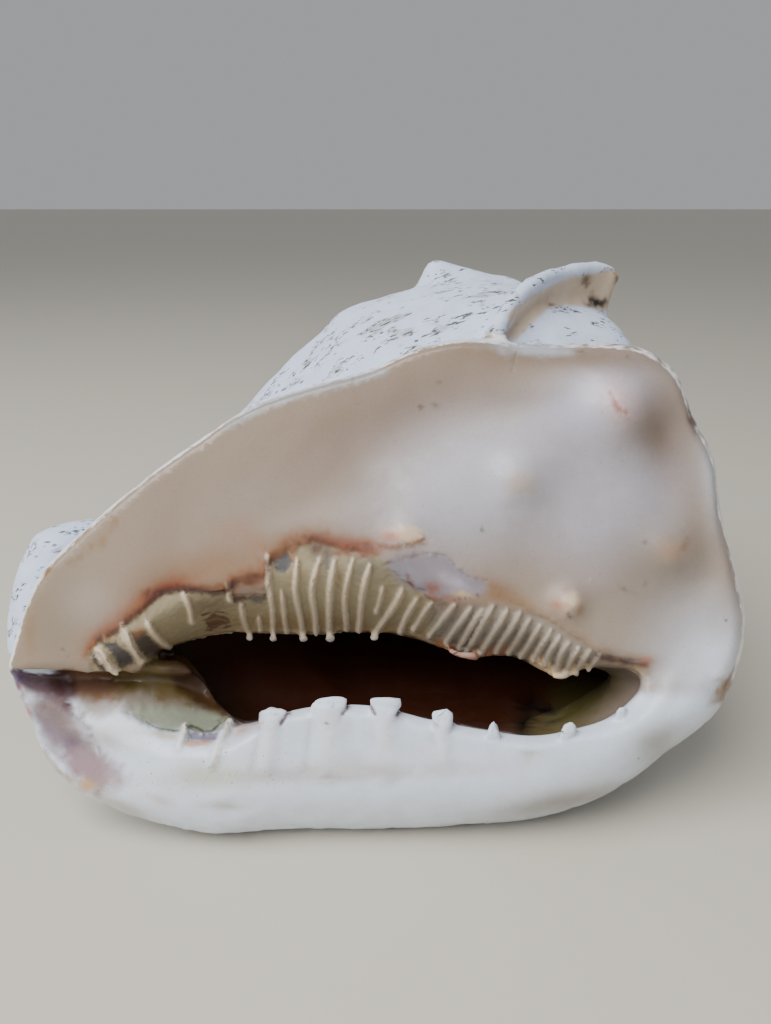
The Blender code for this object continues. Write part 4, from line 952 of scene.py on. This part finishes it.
cracks = [
    [(48.1, 60.8), (47, 57.6), (46.3, 54.4), (45.2, 50.4)], [(80.8, 43.2), (84.1, 37.1), (88, 34)],
    [(-0.2, -19.4), (6.3, -16.9), (14.6, -14.6), (22.1, -15.5), (29.3, -23), (36.2, -24.5)],
    [(-3, -12), (14, -10)], [(60, -33), (71, -34)], [(65.7, -38), (66.5, -37)], [(98, -13), (108, -12)],
]
toothLine = [
    (-92, -75), (-72, -79), (-58, -77), (-40, -74), (-20, -70), (0, -70), (20, -74), (40, -79.5), (66, -80),
    (84, -73),
]


def fineParts(points, away, left, wider=0.0):  # where folds, teeth and broken edges need more points
    across, up = points[:, 0], points[:, 1]
    fine = outlineAway(across, up, bandLeft) > -2 - wider
    fine |= outlineAway(across, up, bandRight) > -1 - wider
    fine |= lineAway(across, up, toothLine) < 4.5 + wider
    fine |= (left < 2.2 + wider / 2) & (up > -66)
    for crack in cracks:
        fine |= lineAway(across, up, crack) < 1.2 + wider
    return fine & (away < 5)




canalMouth = -116  # mm across; beyond it the canal's bore comes out at the back


def hollowPart(piece, face):  # 1 inside the shell: what the face's ring cuts off from the outside
    edges = np.empty(len(piece.data.edges) * 2, int)
    piece.data.edges.foreach_get("vertices", edges)
    edges = edges.reshape(-1, 2)
    points = toFace(pointsOf(piece))
    free = (face < 0.5) & (points[:, 0] > canalMouth)
    one, two = edges[free[edges].all(1)].T
    label = np.arange(len(face))
    while True:  # each point takes the lowest number that reaches it
        before = label.copy()
        lower = np.minimum(label[one], label[two])
        np.minimum.at(label, one, lower)
        np.minimum.at(label, two, lower)
        label = label[label]
        if np.array_equal(before, label):
            break
    middle = np.array((10, -55, -60))  # a place in the hollow
    nearest = np.flatnonzero(free)[np.argmin(((points[free] - middle) ** 2).sum(1))]
    inside = ((label == label[nearest]) & free).astype(float)
    print("hollow", int(inside.sum()), "of", len(inside))
    for _ in range(4):  # softens the border
        total, count = inside.copy(), np.ones(len(inside))
        np.add.at(total, edges[:, 0], inside[edges[:, 1]])
        np.add.at(total, edges[:, 1], inside[edges[:, 0]])
        np.add.at(count, edges.ravel(), 1)
        inside = total / count
    return inside


thinning = {
    "outside": 0.44, "inside": 0.2, "spire": 0.68, "face": 0.74, "fine": 0.86,  # the density that is kept
    "triangles": 118000,  # left before the face is refined
    "evenness": 20.0,
}


def thinShell(piece):  # fewer triangles where little is seen, with edges of an even length
    rowPoints = pointsOf(piece)
    points = toFace(rowPoints)
    group = piece.vertex_groups.new(name="keep")
    _, away, quad = onSheet(points)
    left = sheetLeft[sheetQuads[quad]].mean(1)
    face = away < 4
    behind = hollowPart(piece, (away < 2.8).astype(float)) > 0.5
    across, up, relief = points.T
    flange = (outlineAway(across, up, flangeOutline) > -3) & onFlange(relief)
    floorSide = face & (across < -50) & (up < -50)
    coiled = spireCoil(rowPoints, normalsOf(piece))[3] > 0.05
    fine = flange | floorSide | fineParts(points, away, left, 3)
    group.add(list(range(len(points))), thinning["outside"], "REPLACE")
    for part, share in ((behind, "inside"), (coiled, "spire"), (face, "face"), (fine, "fine")):
        group.add(np.flatnonzero(part).tolist(), thinning[share], "REPLACE")
    piece.data.calc_loop_triangles()
    ratio = thinning["triangles"] / len(piece.data.loop_triangles)
    print("thinning", len(piece.data.loop_triangles), "triangles")
    applied(piece, "DECIMATE", ratio=ratio, vertex_group="keep", invert_vertex_group=True,
            vertex_group_factor=thinning["evenness"], use_collapse_triangulate=True)
    piece.vertex_groups.clear()


def refineFace(piece):  # halves the edges where the face is finely shaped
    points = toFace(pointsOf(piece))
    _, away, quad = onSheet(points)
    fine = fineParts(points, away, sheetLeft[sheetQuads[quad]].mean(1))
    selectOnly(piece)
    bpy.ops.object.mode_set(mode="EDIT")
    bpy.ops.mesh.select_mode(type="VERT")
    bpy.ops.mesh.select_all(action="DESELECT")
    bpy.ops.object.mode_set(mode="OBJECT")
    piece.data.vertices.foreach_set("select", fine)
    bpy.ops.object.mode_set(mode="EDIT")
    bpy.ops.mesh.subdivide(number_cuts=1, smoothness=0.0)
    bpy.ops.mesh.select_all(action="SELECT")
    bpy.ops.mesh.quads_convert_to_tris()
    bpy.ops.object.mode_set(mode="OBJECT")


def weatherShell(piece):  # moves the points in and out for all that is too low to be modelled
    rowPoints = pointsOf(piece)
    normals = normalsOf(piece)
    points = toFace(rowPoints)
    _, away, quad = onSheet(points)
    left = sheetLeft[sheetQuads[quad]].mean(1)
    onFace = ease((3.2 - away) / 1.0)
    band = np.maximum(markMask(area(None, 1, bandLeft, 1.4, 0.7), points),
                      markMask(area(None, 1, bandRight, 4.0, 0.7), points) * 0.7)
    lift = -surfaceRelief["bandDeep"] * band
    for mark in stainMarks + shieldMarks + rimTints + bandMarks + floorMarks + lipMarks:
        if mark["lift"]:
            lift += mark["lift"] * markMask(mark, points)
    lift += lipFolds["crest"] * foldMask(points, 0.1, 0.9)
    lift += surfaceRelief["swells"] * cloud(points, 22, 7) + surfaceRelief["ripples"] * cloud(points, 8, 5)
    lift += surfaceRelief["bandRough"] * band * cloud(points, 1.3, 6)
    lift -= surfaceRelief["rimWear"] * ease((2.4 - left) / 1.6) * np.clip(cloud(points, 3.2, 8) + 0.1, 0, 1)
    lift *= onFace

    turned = points @ coilTurned
    lines = cloud(turned / (40, 3.2, 3.2), 1.0, 13)
    cords = cloud(turned / (5.5, 45, 45), 1.0, 14)
    weather = cloud(points, 7, 15) + 0.5 * cloud(points, 2.6, 16)
    pits = ease((cloud(turned / (4, 1.3, 1.3), 1.0, 11) - 0.35) / 0.25)
    pits *= ease((cloud(points, 9, 12) - 0.1) / 0.2)
    lift += (1 - onFace) * (surfaceRelief["growthLines"] * lines + surfaceRelief["cords"] * cords
                            + surfaceRelief["weathering"] * weather - surfaceRelief["pits"] * pits)

    place, far, turn, here = spireCoil(rowPoints, normals)
    deep = np.clip(far * spire["depth"], 0.6, 3.0)
    groove = np.exp(-((np.minimum(place, 1 - place) / 0.14) ** 2))
    knobs = np.clip(np.cos(2 * math.pi * spire["knobs"] * turn), 0, 1) ** 2
    knobs *= np.exp(-(((place - 0.62) / 0.14) ** 2))
    lift += (1 - onFace) * here * deep * (0.6 * np.sin(math.pi * place) + 0.6 * knobs - groove)
    moved = rowPoints + normals * (lift / 1000)[:, None]
    setPoints(piece, np.clip(moved, np.array(cadBox[0]), np.array(cadBox[1])))


thinShell(shell)
print("thinned to", len(shell.data.polygons), "triangles")
refineFace(shell)
print("refined to", len(shell.data.polygons), "triangles")
weatherShell(shell)
selectOnly(shell)
bpy.ops.object.shade_smooth()
print("surface weathered")

shellPaint = {  # colours as they are seen
    "chalk": (198, 206, 221),
    "shield": (179, 164, 150),
    "lip": (203, 209, 220),
    "bandLeft": (180, 170, 146),
    "bandRight": (170, 162, 151),
    "bandFoot": (184, 164, 134),
    "fold": (206, 194, 176),
    "foldRight": (192, 182, 169),
    "inside": (88, 54, 34),
    "insideRight": (138, 130, 96),
    "insideEdge": (168, 156, 146),
    "suture": (150, 143, 130),
    "flange": (208, 194, 178),
    "rimEdge": (212, 215, 222),
    "light": 1.9,  # how much light falls on the shell, which the colours leave out
    "vivid": 1.45,  # how much stronger a colour is than it is seen
}


def seen(colour):  # the surface's own colour, in linear light, of one given as it is seen
    share = np.array(colour, float) / 255
    linear = np.where(share <= 0.04045, share / 12.92, ((share + 0.055) / 1.055) ** 2.4)
    level = linear @ (0.2126, 0.7152, 0.0722)
    light = level * math.exp(3.62 * max(level - 0.2, 0) ** 1.745)  # pale tones are seen pressed together
    return np.minimum(light * (linear / level) ** shellPaint["vivid"] / shellPaint["light"], 0.9)


def laid(base, colour, mask):  # a coat of colour over the base
    mask = np.clip(mask, 0, 1)[:, None]
    return base * (1 - mask) + seen(colour) * mask


def shellZones(piece):  # where each part of the surface is, from 0 to 1 at each point
    points = toFace(pointsOf(piece))
    across, up, relief = points.T
    _, away, quad = onSheet(points)
    turn = sheetTurn[sheetQuads[quad][:, 0]]
    face = ease((2.8 - away) / 0.8)
    inside = ease(hollowPart(piece, face) * 3)
    outside = (1 - face) * (1 - inside)
    lower = ease((turn - 20.2) / 0.8) * ease((38.9 - turn) / 0.4)
    bandOne = markMask(area(None, 1, bandLeft, 1.0, 0.6), points) * (1 - lower) * face
    bandTwo = markMask(area(None, 1, bandRight, 4.5, 0.8), points) * (1 - lower) * face
    bandTwo *= ease((across - 8) / 14)
    shield = face * (1 - lower)
    wall = inside * ease((-40 - across) / 10) * ease((relief + 62) / 12)  # the hollow's floor at the left
    floorPart = face * ease((turn - 29.2) / 1.0) * ease((38.9 - turn) / 0.3)
    flange = markMask(area(None, 1, flangeOutline, 1.4, 0.4), points)
    flange *= ease((faceNormals(normalsOf(piece))[:, 2] - 0.05) / 0.25)
    right = inside * ease((across - 40) / 24) * ease((relief + 80) / 30)
    lipBack = np.minimum(inside * 4, 1) * ease((relief + 24) / 16) * ease((-60 - up) / 4)
    lipBack *= ease((52 - across) / 14) * ease((across + 52) / 6)
    return {
        "face": face, "hollow": inside, "outside": outside, "wholeShield": shield, "lip": face * lower,
        "bandOne": bandOne, "bandTwo": bandTwo, "band": np.maximum(bandOne, bandTwo),
        "any": np.maximum(face, (relief > -45) * ease((9 - away) / 3)),
        "shield": shield * (1 - 0.8 * np.maximum(bandOne, bandTwo * 0.6)),
        "floor": np.minimum(floorPart + wall, 1), "flange": flange * outside * onFlange(relief),
        "ledge": ((relief > -45) & (relief < -8)).astype(float), "inside": inside * (1 - face),
        "right": right, "rightEdge": right * ease((across - 62) / 22) * ease((relief + 40) / 30),
        "lipBack": lipBack, "folds": foldMask(points, 0.1, 0.7) * (relief > -45) * (1 - face * lower),
        "gone": sheetGone[sheetQuads[quad]].mean(1), "left": sheetLeft[sheetQuads[quad]].mean(1),
    }


def paintShell(piece):
    rowPoints = pointsOf(piece)
    points = toFace(rowPoints)
    across, up, relief = points.T
    zones = shellZones(piece)
    place, _, _, here = spireCoil(rowPoints, normalsOf(piece))
    suture = here * zones["outside"] * 0.7 * np.exp(-((np.minimum(place, 1 - place) / 0.05) ** 2))

    tint = np.tile(seen(shellPaint["chalk"]), (len(points), 1))

    def coat(colour, mask):
        nonlocal tint
        tint = laid(tint, colour, mask)

    def lay(marks):
        for mark in marks:
            coat(mark["tint"], markMask(mark, points) * mark["strength"] * zones[mark["zone"]])

    coat(shellPaint["suture"], suture)
    coat(shellPaint["inside"], zones["hollow"])
    coat(shellPaint["insideRight"], zones["right"])
    coat(shellPaint["insideEdge"], zones["rightEdge"])
    coat(shellPaint["lip"], zones["lipBack"])
    coat(shellPaint["shield"], zones["wholeShield"])
    coat(shellPaint["lip"], zones["lip"])
    for outline in lipTeeth["blocks"]:
        block = ease(markMask(area(None, 1, outline, 2.0), points) * 3)
        coat(shellPaint["lip"], block * ease((relief + 8) / 3))
    # the face's tints, with painted highlight and shade of its broad relief
    lay(shieldTintsLightAndShade)
    worn = ease((1.35 + 0.5 * cloud(points, 4, 17) + 0.4 * cloud(points, 1.5, 19) - zones["left"]) / 0.8
                + 2 * ease((0.45 - zones["left"]) / 0.3))
    coat(shellPaint["rimEdge"], zones["face"] * worn * (up > -60))
    lay(rimTints)
    lay(stainMarks)

    coat(shellPaint["bandLeft"], zones["bandOne"])
    coat(shellPaint["bandRight"], zones["bandTwo"] * 0.92)
    foot = zones["band"] * ease((4.2 + 1.5 * cloud(points, 3, 18) - zones["gone"]) / 2.5)
    coat(shellPaint["bandFoot"], foot * ease(cloud(points, 1.6, 21) * 1.5 + 0.6) * 0.75)
    # stains and breaks of the band, with painted shade in the recesses between its folds
    lay(bandMarks)
    atRight = ease((across - 5) / 18)
    coat(shellPaint["fold"], zones["folds"] * (1 - atRight) * 0.95)
    coat(shellPaint["foldRight"], zones["folds"] * atRight * 0.9)

    # stains, breaks and cracks, with painted shadow under the shield's edge and beside the teeth, and painted
    # shade between the folds, beside the ridges and at the canal
    lay(shieldMarks)
    lay(floorMarks)
    lay(lipMarks)
    lay(hollowMarks)
    coat(shellPaint["flange"], zones["flange"])
    lay(flangeMarks)

    rough = 0.85 * zones["outside"] + 0.36 * zones["face"] + 0.6 * zones["hollow"]
    rough += 0.12 * zones["band"] - 0.3 * zones["flange"]
    specks = zones["lip"] * ease((0 - across) / 60) * ease((90 - abs(up + 92) * 6) / 60)
    specks += 0.35 * zones["wholeShield"] + zones["right"]
    chalky = zones["outside"] * (1 - zones["flange"])
    whole = np.ones(len(points))
    for name, values in (("tint", (*tint.T, whole)), ("finish", (rough, chalky, specks, whole))):
        layer = piece.data.color_attributes.new(name=name, type="FLOAT_COLOR", domain="POINT")
        layer.data.foreach_set("color", np.clip(np.column_stack(values), 0, 1).astype(np.float32).ravel())


paintShell(shell)
print("surface painted")


def newNode(tree, kind, **values):
    node = tree.nodes.new("ShaderNode" + kind)
    for name, value in values.items():
        socket = name.replace("_", " ").title()
        if socket in node.inputs:
            node.inputs[socket].default_value = value
        else:
            setattr(node, name, value)
    return node


def mathNode(tree, operation, first, second=0.5):
    node = newNode(tree, "Math", operation=operation, use_clamp=True)
    for place, value in enumerate((first, second)):
        if isinstance(value, (int, float)):
            node.inputs[place].default_value = value
        else:
            tree.links.new(value, node.inputs[place])
    return node.outputs[0]


def between(tree, value, low, high):  # 0 below low, 1 above high
    node = newNode(tree, "MapRange", interpolation_type="SMOOTHSTEP")
    node.inputs["From Min"].default_value = low
    node.inputs["From Max"].default_value = high
    tree.links.new(value, node.inputs["Value"])
    return node.outputs["Result"]


def mixed(tree, base, colour, mask, blend="MIX"):
    node = newNode(tree, "Mix", data_type="RGBA", blend_type=blend)
    tree.links.new(mask, node.inputs[0])
    tree.links.new(base, node.inputs[6])
    if isinstance(colour, tuple):
        node.inputs[7].default_value = (*colour, 1)
    else:
        tree.links.new(colour, node.inputs[7])
    return node.outputs[2]


def noiseOf(tree, place, scale, stretch=(1, 1, 1), detail=3.0, turn=(0, 0, 0), shift=0.0):
    mapping = newNode(tree, "Mapping", vector_type="TEXTURE")
    mapping.inputs["Rotation"].default_value = turn
    mapping.inputs["Scale"].default_value = stretch
    mapping.inputs["Location"].default_value = (shift, shift, shift)
    noise = newNode(tree, "TexNoise", scale=scale, detail=detail, roughness=0.55)
    tree.links.new(place, mapping.inputs["Vector"])
    tree.links.new(mapping.outputs["Vector"], noise.inputs["Vector"])
    return noise.outputs["Fac"]


limeLook = {
    "whorlTurn": (math.radians(16), math.radians(-12), math.radians(20)),  # lays the noise along the whorl
    "mottleTint": (0.90, 0.88, 0.86), "mottle": 0.6,
    "grainTint": (0.86, 0.85, 0.84), "grain": 0.35,
    "mossTint": (0.30, 0.28, 0.20), "moss": 0.5,
    "dashTint": (0.045, 0.045, 0.05), "dashes": 0.9,
    "speckTint": (0.16, 0.14, 0.10), "specks": 0.8,
    "unevenLow": -0.08, "unevenHigh": 0.10,  # how the mottling changes the roughness
    "bump": 0.6, "bumpDepth": 0.0006,
}


def limeMaterial():
    material = bpy.data.materials.new("shell_lime")
    material.use_nodes = True
    tree = material.node_tree
    links = tree.links
    shader = tree.nodes["Principled BSDF"]
    place = newNode(tree, "TexCoord").outputs["Object"]
    tint = newNode(tree, "VertexColor", layer_name="tint").outputs["Color"]
    finish = newNode(tree, "SeparateColor")
    links.new(newNode(tree, "VertexColor", layer_name="finish").outputs["Color"], finish.inputs["Color"])
    rough, chalk, speckled = finish.outputs["Red"], finish.outputs["Green"], finish.outputs["Blue"]
    along = limeLook["whorlTurn"]

    def patches(low, high, scale, **shape):
        return between(tree, noiseOf(tree, place, scale, **shape), low, high)

    def times(first, second):
        return mathNode(tree, "MULTIPLY", first, second)

    # mottling of the whole surface
    mottle = patches(0.35, 0.7, 130)
    colour = mixed(tree, tint, limeLook["mottleTint"], times(mottle, limeLook["mottle"]), "MULTIPLY")
    grain = patches(0.45, 0.75, 1100, detail=2)
    colour = mixed(tree, colour, limeLook["grainTint"], times(grain, limeLook["grain"]), "MULTIPLY")

    # short dark dashes and pits in groups on the whorl
    groups = patches(0.525, 0.58, 150, stretch=(2.2, 1, 1), detail=2, turn=along, shift=0.4)
    dashes = patches(0.54, 0.585, 700, stretch=(3.2, 0.8, 0.8), detail=2, turn=along)
    single = patches(0.69, 0.74, 420, stretch=(2.6, 1, 1), detail=2, turn=along, shift=0.9)
    marks = times(mathNode(tree, "MAXIMUM", times(groups, dashes), single), chalk)
    moss = times(times(times(groups, patches(0.5, 0.6, 60, shift=0.7)), chalk), limeLook["moss"])
    colour = mixed(tree, colour, limeLook["mossTint"], moss)
    colour = mixed(tree, colour, limeLook["dashTint"], times(marks, limeLook["dashes"]))

    # fine dark specks
    specks = times(times(patches(0.70, 0.76, 900, detail=1, shift=0.2), speckled), limeLook["specks"])
    colour = mixed(tree, colour, limeLook["speckTint"], specks)
    links.new(colour, shader.inputs["Base Color"])

    uneven = newNode(tree, "MapRange")
    uneven.inputs["To Min"].default_value = limeLook["unevenLow"]
    uneven.inputs["To Max"].default_value = limeLook["unevenHigh"]
    links.new(mottle, uneven.inputs["Value"])
    links.new(mathNode(tree, "ADD", rough, uneven.outputs["Result"]), shader.inputs["Roughness"])

    # relief that is too fine for the mesh
    chalky = times(times(noiseOf(tree, place, 500, detail=4), chalk), 0.5)
    smooth = times(noiseOf(tree, place, 900, detail=2), 0.10)
    height = mathNode(tree, "SUBTRACT", mathNode(tree, "ADD", chalky, smooth), times(marks, 0.4))
    bump = newNode(tree, "Bump", strength=limeLook["bump"], distance=limeLook["bumpDepth"])
    links.new(height, bump.inputs["Height"])
    links.new(bump.outputs["Normal"], shader.inputs["Normal"])
    return material


shell.data.materials.clear()
shell.data.materials.append(limeMaterial())

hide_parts("helmet_shell")
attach(shell, "root")
print("shell dressed")

# Floor, light and camera

studio = {
    "floorColour": (0.60, 0.56, 0.47, 1.0), "floorRough": 0.55, "floorSize": 40,
    "worldColour": (0.785, 0.80, 0.825, 1.0), "worldLight": 0.48,
    "keyPlace": (-0.7, -0.75, 1.3), "keyAim": (0.005, -0.03, 0.09), "keySize": 1.3, "keyPower": 43.0,
    "sensor": 36.0,  # mm, the height of the camera's sensor
    "focus": 861.1 / 1024,  # focal length as a share of the picture's height
}

selectOnly(shell)
bpy.ops.mesh.primitive_plane_add(size=studio["floorSize"], location=(0, 0, 0))
floor = bpy.context.active_object
floor.name = "floor"
floorPaint = bpy.data.materials.new("floor_paint")
floorPaint.use_nodes = True
floorShader = floorPaint.node_tree.nodes["Principled BSDF"]
floorShader.inputs["Base Color"].default_value = studio["floorColour"]
floorShader.inputs["Roughness"].default_value = studio["floorRough"]
floor.data.materials.append(floorPaint)

world = bpy.data.worlds.new("studio")
bpy.context.scene.world = world
world.use_nodes = True
world.node_tree.nodes["Background"].inputs["Color"].default_value = studio["worldColour"]
world.node_tree.nodes["Background"].inputs["Strength"].default_value = studio["worldLight"]

bpy.ops.object.light_add(type="AREA", location=studio["keyPlace"])
key = bpy.context.active_object
key.data.size = studio["keySize"]
key.data.energy = studio["keyPower"]
key.rotation_euler = (Vector(studio["keyAim"]) - key.location).to_track_quat("-Z", "Y").to_euler()

bpy.ops.object.camera_add()
camera = bpy.context.active_object
forward = Vector((0, leanCos, -leanSin))
upward = Vector((0, leanSin, leanCos))
faceMiddle = Vector((facePlane["shiftX"], facePlane["shiftY"], facePlane["height"]))
pose = Matrix((Vector((1, 0, 0)), upward, -forward)).transposed().to_4x4()
pose.translation = (faceMiddle - forward * facePlane["eye"]) * 0.001
camera.matrix_world = pose
camera.data.sensor_fit = "VERTICAL"
camera.data.sensor_height = studio["sensor"]
camera.data.lens = studio["sensor"] * studio["focus"]
camera.data.clip_start = 0.01
bpy.context.scene.camera = camera
print("studio set")
